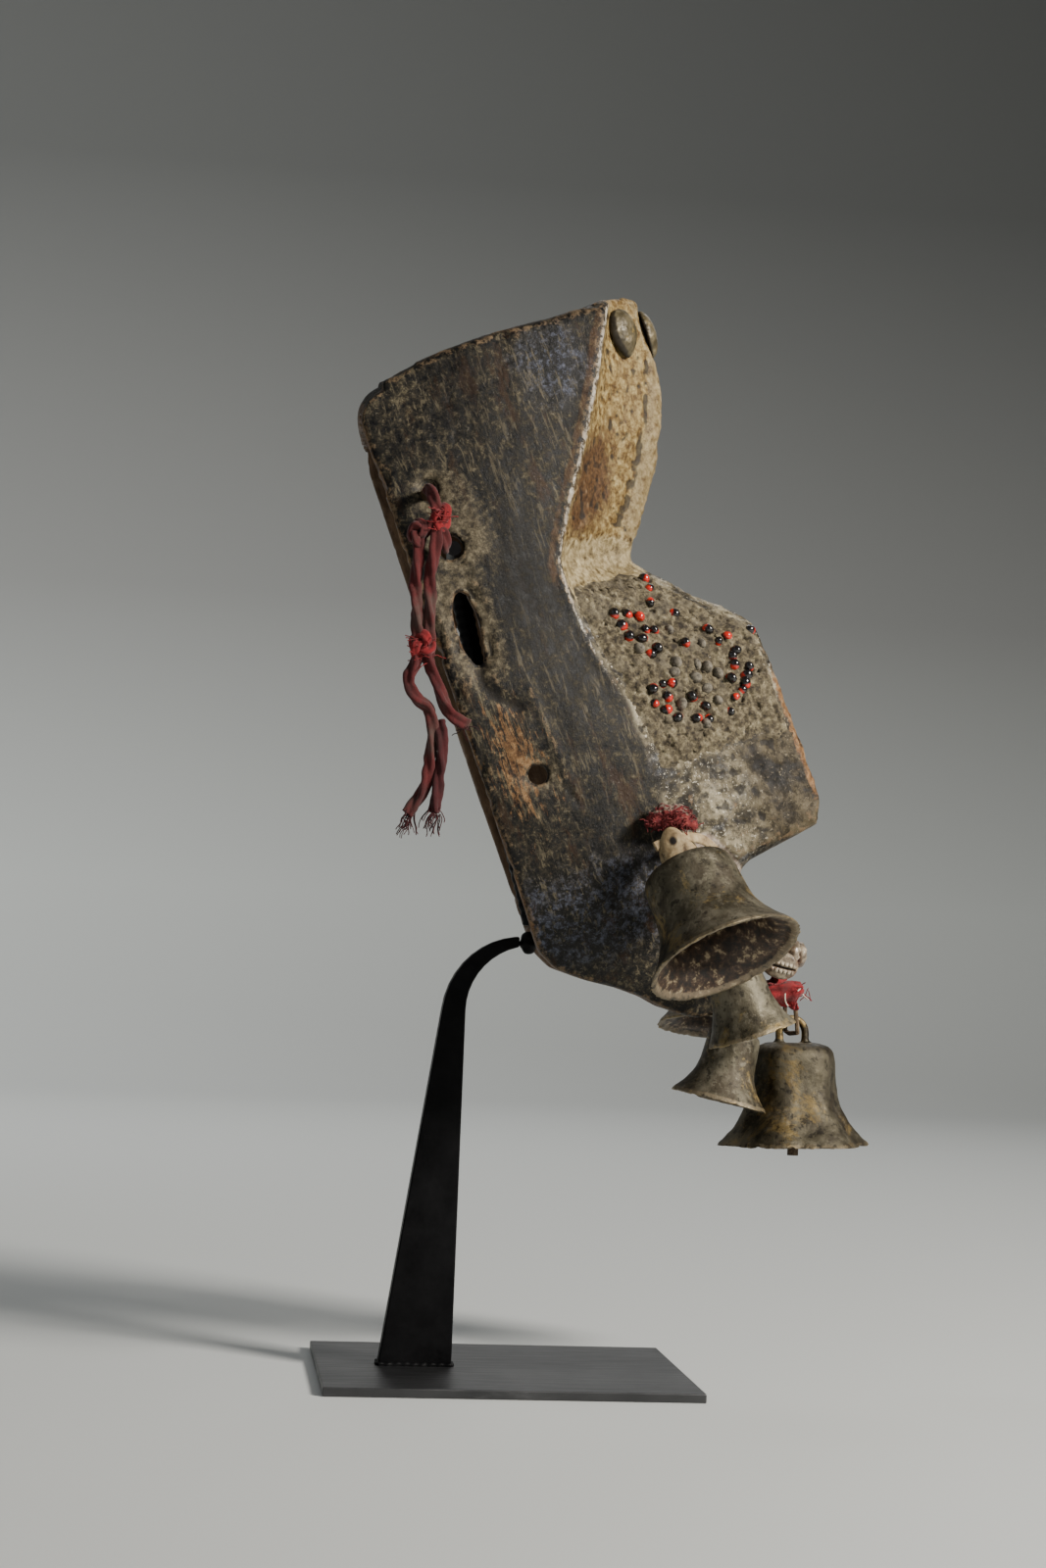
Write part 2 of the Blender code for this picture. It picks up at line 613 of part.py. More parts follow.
def on_grid(grid, down, along):
    """Point and outward direction at a share of the way down and along a grid of points."""
    i = max(0.0, min(0.999, down)) * (len(grid) - 1)
    j = max(0.0, min(0.999, along)) * (len(grid[0]) - 1)
    a, b, c, d = (grid[int(i)][int(j)], grid[int(i)][int(j) + 1],
                  grid[int(i) + 1][int(j)], grid[int(i) + 1][int(j) + 1])
    s, t = i - int(i), j - int(j)
    place = a.lerp(b, t).lerp(c.lerp(d, t), s)
    out = (b - a).cross(c - a).normalized()
    if out.y * place.y < 0:
        out.negate()
    return place, out


# Bells

def bell_profile(rim, crown, height):
    """Outer half profile of a bell from its crown's middle down to its rim, mouth down."""
    a, r = crown / 2 * MM, rim / 2 * MM
    h = height * MM
    return [(0.0, h), (a * 0.62, h), (a * 0.88, h - 0.04 * h), (a, h - 0.12 * h), (a * 1.04, 0.62 * h),
            (a * 1.12, 0.40 * h), (a * 1.12 + (r - a * 1.12) * 0.38, 0.20 * h),
            (a * 1.12 + (r - a * 1.12) * 0.78, 0.07 * h), (r, 0.0)]


def loop_radius(crown):
    """Middle radius of a bell's loop, from its crown's diameter."""
    return 3.4 * MM + 0.085 * crown * MM


def make_bell(name, rim, crown, height, mouth, axis, loop_turn):
    """A hollow cast bell, its crown loop joined on, mouth down along its own -Z."""
    outer = bell_profile(rim, crown, height)
    wall = BELL_WALL
    inner = [(max(0.0, x - wall), z - wall * 1.4) for x, z in outer[:-2]]
    inner[0] = (0.0, outer[0][1] - CROWN_WALL)
    last_x, last_z = outer[-2]
    rim_inside = [(outer[-1][0] - wall, 0.0), (last_x - wall, last_z - wall * 0.2)]
    profile = outer + rim_inside + inner[::-1]
    half = mesh_from(name + "_half", lambda bm: [bm.edges.new(pair) for pair in _line(bm, profile)])
    turned = add_object(name + "_turned", half, group=CUTTERS)
    screw = turned.modifiers.new("turn", "SCREW")
    screw.steps = BELL_SIDES
    screw.render_steps = BELL_SIDES
    screw.use_merge_vertices = True
    screw.merge_threshold = 0.00001
    screw.use_normal_calculate = True
    body = as_mesh(turned, name)
    bpy.data.objects.remove(turned)
    bell = add_object(name, body, HANG_FRAME, BRONZE)
    loop_mesh = mesh_from(name + "_loop", lambda bm: _arch(bm, loop_radius(crown), LOOP_BAR / 2, 6))
    loop = add_object(name + "_loop", loop_mesh, parent=bell, group=CUTTERS)
    loop.matrix_local = (Matrix.Translation((0, 0, height * MM - LOOP_SUNK))
                         @ Matrix.Rotation(math.radians(loop_turn), 4, "Z"))
    cut(bell, loop, "UNION")
    up = -Vector(axis).normalized()
    bell.matrix_local = Matrix.Translation(Vector(mouth) * MM) @ turn_to(up, 0)
    body.shade_smooth()
    body.set_sharp_from_angle(angle=math.radians(35))


def _line(bm, profile):
    verts = [bm.verts.new((x, 0, z)) for x, z in profile]
    return list(zip(verts, verts[1:]))


def _arch(bm, radius, bar, steps):
    """A bar bent into a tall half ring that stands on z = 0."""
    rings = []
    leg = radius * 0.9
    centres = [(radius, 0.0, 0.0)]
    for k in range(steps + 1):
        a = math.pi * k / steps
        centres.append((radius * math.cos(a), 0.0, leg + radius * math.sin(a)))
    centres.append((-radius, 0.0, 0.0))
    for k, c in enumerate(centres):
        before = Vector(centres[max(0, k - 1)])
        after = Vector(centres[min(len(centres) - 1, k + 1)])
        along = (after - before).normalized()
        side = Vector((0, 1, 0))
        out = side.cross(along)
        rings.append([Vector(c) + side * bar * math.cos(t) + out * bar * math.sin(t)
                      for t in (2 * math.pi * j / 6 for j in range(6))])
    loft(bm, rings)


def make_clapper(bell_name):
    rim, crown, height, mouth, axis, _ = BELLS[bell_name]
    up = -Vector(axis).normalized()
    top = height * MM - CROWN_WALL - TOUCH
    points = [Vector((0, 0, top)), Vector((0.6 * MM, 0, top * 0.5)), Vector((0, 0, -CLAPPER_DROP))]
    rod = tube(bell_name + "_clapper", points, CLAPPER_DIAMETER / 2, HANG_FRAME, IRON, sides=2, steps=1.2)
    rod.matrix_local = Matrix.Translation(Vector(mouth) * MM) @ turn_to(up, 0)


# Stand

def arm_end():
    """Middle of the arm's end face, which the weld and the spine stand on."""
    bend_end = POST_FRONT_X + ARM_RADIUS * (1 - math.cos(ARM_TURN))
    under = PLATE_THICKNESS + POST_NECK_HEIGHT + ARM_RADIUS * math.sin(ARM_TURN)
    return Vector((bend_end + ARM_RUN, 0, under + ARM_END_THICKNESS / 2))


def weld_centre():
    """Middle of the weld bead, which stands at the end of the arm."""
    return arm_end() + Vector((WELD_RADIUS * WELD_SHAPE[0] + TOUCH, 0, 0))


def make_stand():
    box("base_plate", (PLATE_LENGTH, PLATE_DEPTH, PLATE_THICKNESS), (0, 0, PLATE_THICKNESS / 2),
        finish=PLATE_STEEL, bevel=PLATE_EDGE)
    foot = PLATE_THICKNESS + TOUCH
    neck = PLATE_THICKNESS + POST_NECK_HEIGHT
    centre = Vector((POST_FRONT_X + ARM_RADIUS, neck))
    inner, outer = [(POST_FRONT_X, foot)], [(POST_FRONT_X - POST_FOOT_WIDTH, foot)]
    steps = 9
    for k in range(steps + 1):
        a = ARM_TURN * k / steps
        thick = POST_NECK_WIDTH + (ARM_END_THICKNESS - POST_NECK_WIDTH) * k / steps
        way = Vector((-math.cos(a), math.sin(a)))
        spot = centre + way * ARM_RADIUS
        inner.append(tuple(spot))
        outer.append(tuple(spot + way * thick))
    end = arm_end()
    inner.append((end.x, end.z - ARM_END_THICKNESS / 2))
    outer.append((end.x, end.z + ARM_END_THICKNESS / 2))
    outline = inner + outer[::-1]

    def build(bm):
        rings = [[Vector((x, y, z)) for x, z in outline] for y in (-POST_THICKNESS / 2, POST_THICKNESS / 2)]
        rows = [[bm.verts.new(p) for p in ring] for ring in rings]
        count = len(outline)
        for k in range(count):
            bm.faces.new((rows[0][k], rows[0][(k + 1) % count], rows[1][(k + 1) % count], rows[1][k]))
        half = count // 2
        for row in rows:
            for k in range(half - 1):
                bm.faces.new((row[k], row[k + 1], row[count - 2 - k], row[count - 1 - k]))
    post = add_object("stand_post", mesh_from("stand_post", build), finish=BLACK_STEEL)
    edge = post.modifiers.new("edge", "BEVEL")
    edge.width = POST_EDGE
    edge.segments = 1
    edge.limit_method = "ANGLE"
    edge.angle_limit = math.radians(50)

    def bead(bm):
        bmesh.ops.create_uvsphere(bm, u_segments=12, v_segments=8, radius=WELD_RADIUS)
        bmesh.ops.scale(bm, vec=WELD_SHAPE, verts=bm.verts)
    weld = add_object("stand_weld", mesh_from("stand_weld", bead), finish=BLACK_STEEL)
    weld.location = weld_centre()
    weld.data.shade_smooth()

    spine_route = [SPINE_FOOT + SPINE_START, *SPINE_ROUTE,
                   PIN_AT - Vector((-0.5 * MM, 0, PIN_DIAMETER / 2 + TOUCH))]
    tube("stand_spine", spine_route, SPINE_DIAMETER / 2, MASK_FRAME, BLACK_STEEL)
    half_pin = (smooth(RIM_HALF_WIDTH, PIN_AT.z / MM) + 2) * MM - PIN_RECESS

    def rod(bm):
        bmesh.ops.create_cone(bm, cap_ends=True, segments=20, radius1=PIN_DIAMETER / 2,
                              radius2=PIN_DIAMETER / 2, depth=2 * half_pin)
        bmesh.ops.rotate(bm, matrix=Matrix.Rotation(math.pi / 2, 3, "X"), verts=bm.verts)
    pin = add_object("stand_cross_pin", mesh_from("stand_cross_pin", rod), MASK_FRAME, BLACK_STEEL)
    pin.location = PIN_AT


# Chin, hangers and cord

def rounded_block(name, size, at, parent, finish, bevel, tilt=0.0):
    made = box(name, size, at, parent, finish, bevel)
    made.rotation_euler = (0, math.radians(tilt), 0)
    return made


def make_chin_cloth():
    """A wad of cloth under the chin, with a fold that stands up behind the cowries."""
    cloth = rounded_block("chin_cloth", [n * MM for n in CLOTH_SIZE], Vector(CLOTH_AT) * MM, MASK_FRAME,
                          RED_CLOTH, CLOTH_ROUNDING, CLOTH_TILT)
    rings = [[Vector((x, y, z)) * MM for x, y in CLOTH_BED] for z in CLOTH_BED_HEIGHTS]
    fold = mesh_from("chin_cloth_fold", lambda bm: loft(bm, rings))
    cut(cloth, add_object("chin_cloth_fold", fold, MASK_FRAME, group=CUTTERS), "UNION")


def make_cowrie(name, at, turn, size):
    """A cowrie: an egg with a flat base, cut along by its toothed slit."""
    def shell(bm):
        bmesh.ops.create_uvsphere(bm, u_segments=12, v_segments=8, radius=0.5)
        for v in bm.verts:
            egg = 1 + COWRIE_EGG * v.co.x
            v.co.y *= egg
            v.co.z = max(v.co.z * egg, -COWRIE_BASE)
        bmesh.ops.scale(bm, vec=[n * MM for n in size], verts=bm.verts)

    def slit(bm):
        bmesh.ops.create_cube(bm, size=1.0)
        share, wide, deep = COWRIE_SLIT
        bmesh.ops.scale(bm, vec=(size[0] * share * MM, wide * MM, deep * MM), verts=bm.verts)
        bmesh.ops.translate(bm, vec=(0, 0, -COWRIE_BASE * size[2] * MM), verts=bm.verts)
    made = add_object(name, mesh_from(name, shell), MASK_FRAME, SHELL)
    made.location = Vector(at) * MM
    made.rotation_euler = [math.radians(a) for a in turn]
    groove = add_object(name + "_slit", mesh_from(name + "_slit", slit), made, group=CUTTERS)
    cut(made, groove)
    made.data.shade_smooth()


def bell_eye(bell_name):
    """Middle of a bell loop's hole, the way through it, and the way across it."""
    _, crown, height, mouth, axis, loop_turn = BELLS[bell_name]
    up = -Vector(axis).normalized()
    radius = loop_radius(crown)
    rise = (height * MM - LOOP_SUNK + 0.9 * radius + radius - LOOP_BAR / 2 + height * MM) / 2
    frame = turn_to(up, loop_turn).to_3x3()
    return Vector(mouth) * MM + up * rise, frame @ Vector((0, 1, 0)), frame @ Vector((1, 0, 0))


def make_strap():
    """A folded strip of hide from the corner of the mouth through the near bell's loop."""
    eye, through, across = bell_eye("bell_near_cheek")
    root, end = Vector(STRAP_ROOT) * MM, Vector(STRAP_END) * MM
    if (root - eye).dot(through) > 0:
        through = -through
    route = [root, eye - through * 4 * MM, eye + through * 3 * MM, end]

    def band(bm):
        rings = []
        for k, p in enumerate(route):
            along = (route[min(k + 1, len(route) - 1)] - route[max(k - 1, 0)]).normalized()
            side = (across - along * across.dot(along)).normalized()
            flat = along.cross(side)
            rings.append([p + side * STRAP_WIDTH / 2 * a + flat * STRAP_THICKNESS / 2 * b
                          for a, b in ((-1, -1), (1, -1), (1, 1), (-1, 1))])
        loft(bm, rings)
    add_object("hide_strap", mesh_from("hide_strap", band), HANG_FRAME, HIDE)


def make_thong(name, bell_name, start, end):
    """A thong from the jaw through a bell's loop and back to the jaw."""
    eye, through, _ = bell_eye(bell_name)
    start, end = Vector(start) * MM, Vector(end) * MM
    if (start - end).dot(through) > 0:
        through = -through
    reach = through * LOOP_BAR * 1.3
    behind = eye + reach + (end - start) * 0.2
    tube(name, [start, eye - reach, eye, behind, end], THONG_DIAMETER / 2, HANG_FRAME, HIDE, sides=2)


def make_cord():
    for name, route in CORD_STRANDS.items():
        points = [Vector(p) * MM for p in route]
        tube(name, points, CORD_DIAMETER / 2, HANG_FRAME, RED_CLOTH, sides=2, steps=1.1)
    for name, (at, size, turn) in CORD_KNOTS.items():
        def lump(bm, size=size):
            bmesh.ops.create_uvsphere(bm, u_segments=10, v_segments=7, radius=0.5)
            bmesh.ops.scale(bm, vec=[n * MM for n in size], verts=bm.verts)
        knot = add_object(name, mesh_from(name, lump), HANG_FRAME, RED_CLOTH)
        knot.location = Vector(at) * MM
        knot.rotation_euler = (0, math.radians(turn), 0)
        knot.data.shade_smooth()


clear_scene()
PARTS = collection("guere_mask")
CUTTERS = collection("cutters")
WOOD = material("painted_wood", (0.12, 0.11, 0.10), 0.7)
PLATE_STEEL = material("plate_steel", (0.10, 0.10, 0.105), 0.45, 0.8)
BLACK_STEEL = material("black_steel", (0.012, 0.012, 0.013), 0.45, 0.3)
BRONZE = material("bell_bronze", (0.20, 0.18, 0.13), 0.5, 0.7)
STUD_METAL = material("stud_metal", (0.25, 0.22, 0.14), 0.35, 0.6)
CRUST = material("mud_crust", (0.16, 0.14, 0.10), 0.85)
SHELL = material("cowrie_shell", (0.55, 0.48, 0.38), 0.4)
HIDE = material("hide", (0.45, 0.34, 0.20), 0.7)
RED_CLOTH = material("red_cloth", (0.25, 0.02, 0.02), 0.9)
IRON = material("clapper_iron", (0.08, 0.07, 0.06), 0.7, 0.6)

MASK_FRAME = bpy.data.objects.new("mask_frame", None)
PARTS.objects.link(MASK_FRAME)
MASK_FRAME.rotation_euler = (0, -math.radians(MASK_LEAN), math.radians(MASK_TURN))
bpy.context.view_layer.update()
TURN = MASK_FRAME.matrix_world.to_3x3()
WELD_TOP = weld_centre() + Vector((0, 0, WELD_RADIUS * WELD_SHAPE[2] + TOUCH))
MASK_FRAME.location = WELD_TOP - TURN @ SPINE_FOOT
HANG_FRAME = bpy.data.objects.new("hang_frame", None)
PARTS.objects.link(HANG_FRAME)
HANG_FRAME.location = MASK_FRAME.location

make_stand()
MASK = make_mask()
for stud_name, stud_place in STUDS.items():
    make_stud(MASK, stud_name, *stud_place, STUD_CENTRE)
for bell_name, sizes in BELLS.items():
    make_bell(bell_name, *sizes)
make_clapper(CLAPPER_BELL)
make_crust("seed_crust_near", -1)
make_crust("seed_crust_far", 1)
make_chin_cloth()
for cowrie_name, (cowrie_at, cowrie_turn) in COWRIES.items():
    make_cowrie(cowrie_name, cowrie_at, cowrie_turn, COWRIE_SIZE)
rounded_block("mouth_yarn", [n * MM for n in YARN_SIZE], Vector(YARN_AT) * MM, MASK_FRAME, RED_CLOTH,
              YARN_ROUNDING)
make_strap()
for thong_name, ends in THONGS.items():
    make_thong(thong_name, *ends)
make_cord()
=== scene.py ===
# %% [markdown]
# A carved wooden face mask with bells, shells and a cloth cord, held up on a steel stand.
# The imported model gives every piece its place. This script keeps those places and gives each
# piece the form and the finish that a visitor would see from an arm's length.

# %% Load the frame
import math
import random

import bmesh
import bpy
import numpy as np
from mathutils import Euler, Matrix, Vector, noise
from mathutils.bvhtree import BVHTree


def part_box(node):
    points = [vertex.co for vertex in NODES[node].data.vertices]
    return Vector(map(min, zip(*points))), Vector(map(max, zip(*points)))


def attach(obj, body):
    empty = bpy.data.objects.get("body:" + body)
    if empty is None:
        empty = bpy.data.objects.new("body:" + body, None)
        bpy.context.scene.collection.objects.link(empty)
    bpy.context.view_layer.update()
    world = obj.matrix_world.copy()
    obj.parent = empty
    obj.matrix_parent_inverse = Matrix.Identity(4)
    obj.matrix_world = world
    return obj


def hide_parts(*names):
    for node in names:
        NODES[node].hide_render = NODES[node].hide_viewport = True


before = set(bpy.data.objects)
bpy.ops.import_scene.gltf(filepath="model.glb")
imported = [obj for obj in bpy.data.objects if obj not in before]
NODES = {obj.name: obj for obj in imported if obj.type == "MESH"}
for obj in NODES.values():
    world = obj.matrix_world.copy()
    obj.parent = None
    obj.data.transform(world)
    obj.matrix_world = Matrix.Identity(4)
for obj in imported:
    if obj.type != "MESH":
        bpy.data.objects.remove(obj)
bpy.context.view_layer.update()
MM = 0.001

# %% [markdown]
# The mask leans back and turns a little, so its carving is easiest to describe in its own frame:
# forward out of the face, across to the far cheek, and up along the back rim. One matrix takes
# places from that frame to the room and back.

# %% The mask's own frame
LEAN, TURN = math.radians(21.0), math.radians(-5.4)
MASK_AT = Vector((-0.08138, 0.00822, 0.42608))
MASK_FRAME = (Matrix.Translation(MASK_AT) @ Matrix.Rotation(TURN, 4, "Z")
              @ Matrix.Rotation(-LEAN, 4, "Y"))


def from_mask(forward, across, up):
    """A place given in millimetres of the mask's frame, in the room."""
    return MASK_FRAME @ Vector((forward * MM, across * MM, up * MM))


print("mask corner:", [round(v, 4) for v in from_mask(0, 0, 0)])

# %% [markdown]
# The camera stands a little over a metre away with a 60 mm lens, level with the middle of the
# stand, and is rolled two degrees as the photograph is. The light comes low from the right,
# with a weak fill from the left and a pale floor that throws some of it back up.

# %% Camera, light and floor
camera = bpy.data.objects.new("camera", bpy.data.cameras.new("camera"))
bpy.context.scene.collection.objects.link(camera)
bpy.context.scene.camera = camera
camera.data.lens = 60
camera.data.sensor_width = 36
camera.data.dof.use_dof = False
CAMERA_AT = (-0.1445, -1.1794, 0.1969)
YAW, PITCH, ROLL = math.radians(6.992), math.radians(3.347), math.radians(2.261)
ahead = Vector((math.sin(YAW) * math.cos(PITCH), math.cos(YAW) * math.cos(PITCH), math.sin(PITCH)))
level = Vector((math.cos(YAW), -math.sin(YAW), 0))
upright = level.cross(ahead)
right = level * math.cos(ROLL) + upright * math.sin(ROLL)
top = upright * math.cos(ROLL) - level * math.sin(ROLL)
camera.matrix_world = (Matrix.Translation(CAMERA_AT)
                       @ Matrix((right, top, -ahead)).transposed().to_4x4())


def add_light(name, at, target, size, power, colour=(1, 1, 1)):
    lamp = bpy.data.objects.new(name, bpy.data.lights.new(name, "AREA"))
    bpy.context.scene.collection.objects.link(lamp)
    lamp.data.shape = "SQUARE"
    lamp.data.size = size
    lamp.data.energy = power
    lamp.data.color = colour
    lamp.location = at
    lamp.rotation_euler = (Vector(target) - Vector(at)).to_track_quat("-Z", "Y").to_euler()
    return lamp


add_light("key", (1.25, -1.05, 1.05), (0, 0, 0.3), 0.38, 64, (1.0, 0.95, 0.885))
add_light("fill", (-1.4, -1.3, 1.0), (0, 0, 0.3), 1.6, 2.8, (0.92, 0.96, 1.0))
add_light("wall", (-1.3, 1.2, 1.7), (-0.9, 3.1, 0.1), 1.3, 36)
add_light("rim", (0.4, 1.5, 1.3), (0, 0, 0.35), 1.0, 5)
world = bpy.data.worlds.new("studio")
bpy.context.scene.world = world
world.use_nodes = True
world.node_tree.nodes["Background"].inputs[0].default_value = (0.42, 0.44, 0.45, 1)
world.node_tree.nodes["Background"].inputs[1].default_value = 0.20
print("camera at", [round(v, 3) for v in camera.location])

# %% [markdown]
# Every finish here is built from a few kinds of node: noise that reads the room's coordinates
# turned into the mask's frame, colour ramps that split the noise into patches, and mixes that
# lay one patch on another. A small class keeps the wiring short.


# %% Helpers for finishes
def link(tree, source, socket):
    """A socket fed by a node, by an output of one, or set to a plain value."""
    if isinstance(source, bpy.types.Node):
        source = source.outputs[0]
    if isinstance(source, bpy.types.NodeSocket):
        tree.links.new(source, socket)
    else:
        opaque = socket.type == "RGBA" and len(source) == 3
        socket.default_value = (*source, 1) if opaque else source


def add_node(tree, kind, inputs=None, **settings):
    """A node with its settings made and its inputs fed; an input is named or counted."""
    node = tree.nodes.new(kind)
    for key, value in settings.items():
        setattr(node, key, value)
    for socket, source in (inputs or {}).items():
        link(tree, source, node.inputs[socket])
    return node


class Finish:
    """A material under construction, with short calls for the nodes that it needs."""

    def __init__(self, name, roughness=0.7, metallic=0.0, turned=False):
        self.material = bpy.data.materials.new(name)
        self.material.use_nodes = True
        self.tree = self.material.node_tree
        self.shader = self.tree.nodes["Principled BSDF"]
        self.shader.inputs["Roughness"].default_value = roughness
        self.shader.inputs["Metallic"].default_value = metallic
        self.place = self.add("ShaderNodeTexCoord").outputs["Object"]
        if turned:
            straight = MASK_FRAME.to_3x3().inverted().to_euler()
            self.place = self.add("ShaderNodeMapping", {"Vector": self.place, "Rotation": straight})

    def add(self, kind, inputs=None, **settings):
        return add_node(self.tree, kind, inputs, **settings)

    def noise(self, scale, detail=4, rough=0.55, stretch=None, distortion=0.0):
        place = self.place
        if stretch:
            place = self.add("ShaderNodeMapping", {"Vector": place, "Scale": stretch})
        wanted = {"Vector": place, "Scale": scale, "Detail": detail, "Roughness": rough}
        return self.add("ShaderNodeTexNoise", {**wanted, "Distortion": distortion}).outputs["Fac"]

    def ramp(self, source, *stops):
        """Stops are (position, colour or grey)."""
        node = self.add("ShaderNodeValToRGB", {"Fac": source})
        points = node.color_ramp.elements
        while len(points) < len(stops):
            points.new(0.5)
        for point, (position, value) in zip(points, stops):
            point.position = position
            point.color = (*value, 1) if isinstance(value, tuple) else (value, value, value, 1)
        return node.outputs["Color"]

    def mix(self, share, below, above, how="MIX"):
        return self.add("ShaderNodeMix", {0: share, 6: below, 7: above}, data_type="RGBA",
                        blend_type=how).outputs[2]

    def lay(self, source, low, high, share, below, above):
        """One colour laid on another where a noise passes a level."""
        return self.mix(self.ramp(source, (low, 0.0), (high, share)), below, above)

    def maths(self, how, a, b=0.5):
        clamped = how in ("ADD", "SUBTRACT", "MULTIPLY")
        return self.add("ShaderNodeMath", {0: a, 1: b}, operation=how, use_clamp=clamped).outputs[0]

    def zone(self, name):
        return self.add("ShaderNodeAttribute", attribute_name=name).outputs["Fac"]

    def patch(self, zone, breakup, low=0.42, high=0.62, reach=0.55):
        """Where a zone's value plus noise passes a level: a zone with a broken, worn edge."""
        pushed = self.maths("ADD", self.maths("MULTIPLY", zone, 1.0 - reach),
                            self.maths("MULTIPLY", breakup, reach))
        mask = self.ramp(pushed, (low, 0.0), (high, 1.0))
        return self.maths("MULTIPLY", mask, self.ramp(zone, (0.02, 0.0), (0.12, 1.0)))

    def done(self, colour, roughness=None, height=None, strength=0.4, depth=0.0006, metallic=None):
        wanted = {"Base Color": colour, "Roughness": roughness, "Metallic": metallic}
        if height is not None:
            wanted["Normal"] = self.add("ShaderNodeBump", {"Strength": strength, "Distance": depth,
                                                           "Height": height})
        for socket, source in wanted.items():
            if source is not None:
                link(self.tree, source, self.shader.inputs[socket])
        return self.material


def add_piece(name, mesh, finish, replaces=(), smooth=True):
    """An object at the origin that rides with the mask and stands for CAD nodes."""
    mesh.name = name
    mesh.materials.clear()
    mesh.materials.append(finish)
    piece = bpy.data.objects.new(name, mesh)
    bpy.context.scene.collection.objects.link(piece)
    if smooth:
        mesh.shade_smooth()
    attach(piece, "root")
    if replaces:
        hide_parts(*replaces)
    return piece


def mesh_of(bm, name):
    """The mesh of a closed form, with its faces turned outwards."""
    bmesh.ops.recalc_face_normals(bm, faces=bm.faces)
    mesh = bpy.data.meshes.new(name)
    bm.to_mesh(mesh)
    bm.free()
    return mesh


def join_rings(bm, rings, way=1):
    """Faces between each ring of points and the next."""
    for low, high in zip(rings, rings[1:]):
        for j in range(len(low)):
            n = (j + 1) % len(low)
            bm.faces.new((low[j], low[n], high[n], high[j])[::way])


def repaint(node, finish):
    for slot in NODES[node].material_slots:
        slot.material = finish


def stage_piece(name, mesh, finish):
    mesh.materials.append(finish)
    piece = bpy.data.objects.new(name, mesh)
    bpy.context.scene.collection.objects.link(piece)
    return piece


# %% [markdown]
# The floor runs back and bends up into a wall without an edge, so that no horizon shows. Its
# grey deepens with height: painted shade, standing in for the light that falls off up the wall.

# %% Floor
floor_finish = Finish("pale_floor", roughness=0.8)
split = floor_finish.add("ShaderNodeSeparateXYZ", {0: floor_finish.place})
climb = floor_finish.maths("MULTIPLY", split.outputs["Z"], 0.55)
# painted shade: the wall's grey darkens with height, as the light falls off
backdrop_painted_shade = floor_finish.ramp(climb, (0.0, (0.57, 0.59, 0.575)), (0.14, (0.56, 0.585, 0.565)),
                             (0.42, (0.30, 0.305, 0.295)), (0.85, (0.13, 0.135, 0.13)))
BEND_START, BEND = 1.9, 1.5
profile = [(-5.0, 0.0), (BEND_START, 0.0)]
profile += [(BEND_START + BEND * math.sin(a), BEND * (1 - math.cos(a)))
            for a in (math.pi / 2 * k / 32 for k in range(1, 33))]
profile += [(BEND_START + BEND, 6.0)]
floor_mesh = bpy.data.meshes.new("floor")
floor_mesh.from_pydata([(x, y, z) for y, z in profile for x in (-6.0, 6.0)], [],
                       [(2 * k, 2 * k + 1, 2 * k + 3, 2 * k + 2) for k in range(len(profile) - 1)])
floor_mesh.shade_smooth()
stage_piece("floor", floor_mesh, floor_finish.done(backdrop_painted_shade))

# %% [markdown]
# The cord is a rag rope: strips of red cloth that were twisted and knotted by hand. One strand
# leaves the upper hole, goes through the two upper knots and the middle one, and ends in a
# loop. The other leaves the pin's hole and ends frayed. A third short end hangs below them.
# Each is a smooth route, and a twisted strip is swept along it as a mesh.

# %% Routes of the cloth cord
CORD_WIDTH = 0.0046
RAG_SWELL = 1.28                # the lobes lie inside the outline, so it is drawn wider
RINGS_PER_MM = 1.4
CORD_ROUTES = {
    "cloth_cord_left": [(-53.5, -60, 387.5), (-53.2, -68.5, 387), (-51.8, -72.5, 382.8), (-50.5, -73, 376),
                        (-53.5, -73, 370), (-57.2, -73, 366), (-57.6, -73, 360.4), (-58.2, -73.5, 345),
                        (-56.6, -74, 326.3), (-56.2, -74, 319), (-57, -74, 311.6), (-59.5, -74, 304),
                        (-56.5, -74, 296.5), (-51, -74, 293), (-48.8, -74, 286), (-49, -74, 270),
                        (-52.2, -74, 256), (-58, -74, 247)],
    "cloth_cord_right": [(-45.7, -66.8, 362.4), (-46.2, -70.5, 364), (-47.4, -72.5, 367.5),
                         (-49.4, -73.8, 369.5), (-50.8, -75, 363.5), (-52, -74, 350), (-52, -73.5, 338),
                         (-51.4, -74, 326.3), (-51.8, -74, 319), (-51, -74, 311.8), (-47.5, -74, 303),
                         (-43.5, -74, 294), (-39, -73, 289), (-33.5, -71, 286)],
    "cloth_cord_tail": [(-45.2, -73.5, 287.5), (-44.6, -75, 279), (-44.6, -75, 268), (-45.8, -75, 257),
                        (-46.6, -75, 248)],
}


def spread(route, count):
    """Evenly spaced points on the smooth curve through a route."""
    route = [Vector(p) for p in route]
    ends = [2 * route[0] - route[1], *route, 2 * route[-1] - route[-2]]
    fine = []
    for k in range(1, len(ends) - 2):
        a, b, c, d = ends[k - 1:k + 3]
        for j in range(24):
            t = j / 24
            fine.append(0.5 * (2 * b + (c - a) * t + (2 * a - 5 * b + 4 * c - d) * t * t
                               + (3 * b - a - 3 * c + d) * t ** 3))
    fine.append(route[-1])
    reach = np.concatenate([[0], np.cumsum([(b - a).length for a, b in zip(fine, fine[1:])])])
    xyz = np.array([tuple(p) for p in fine])
    at = np.linspace(0, reach[-1], count)
    return [Vector([np.interp(s, reach, xyz[:, k]) for k in range(3)]) for s in at], float(reach[-1])


cord_lines = {}
for cord_name, route in CORD_ROUTES.items():
    points, length = spread([Vector(p) * MM for p in route], 34)
    cord_lines[cord_name] = (points, length)
    print(cord_name, "is", round(length * 1000), "mm long")

# %% [markdown]
# A twisted rag is a tube whose outline is a few soft lobes that turn as they go. The
# sweep below turns its outline along the route, and changes its width a little as a hand-torn
# strip does.


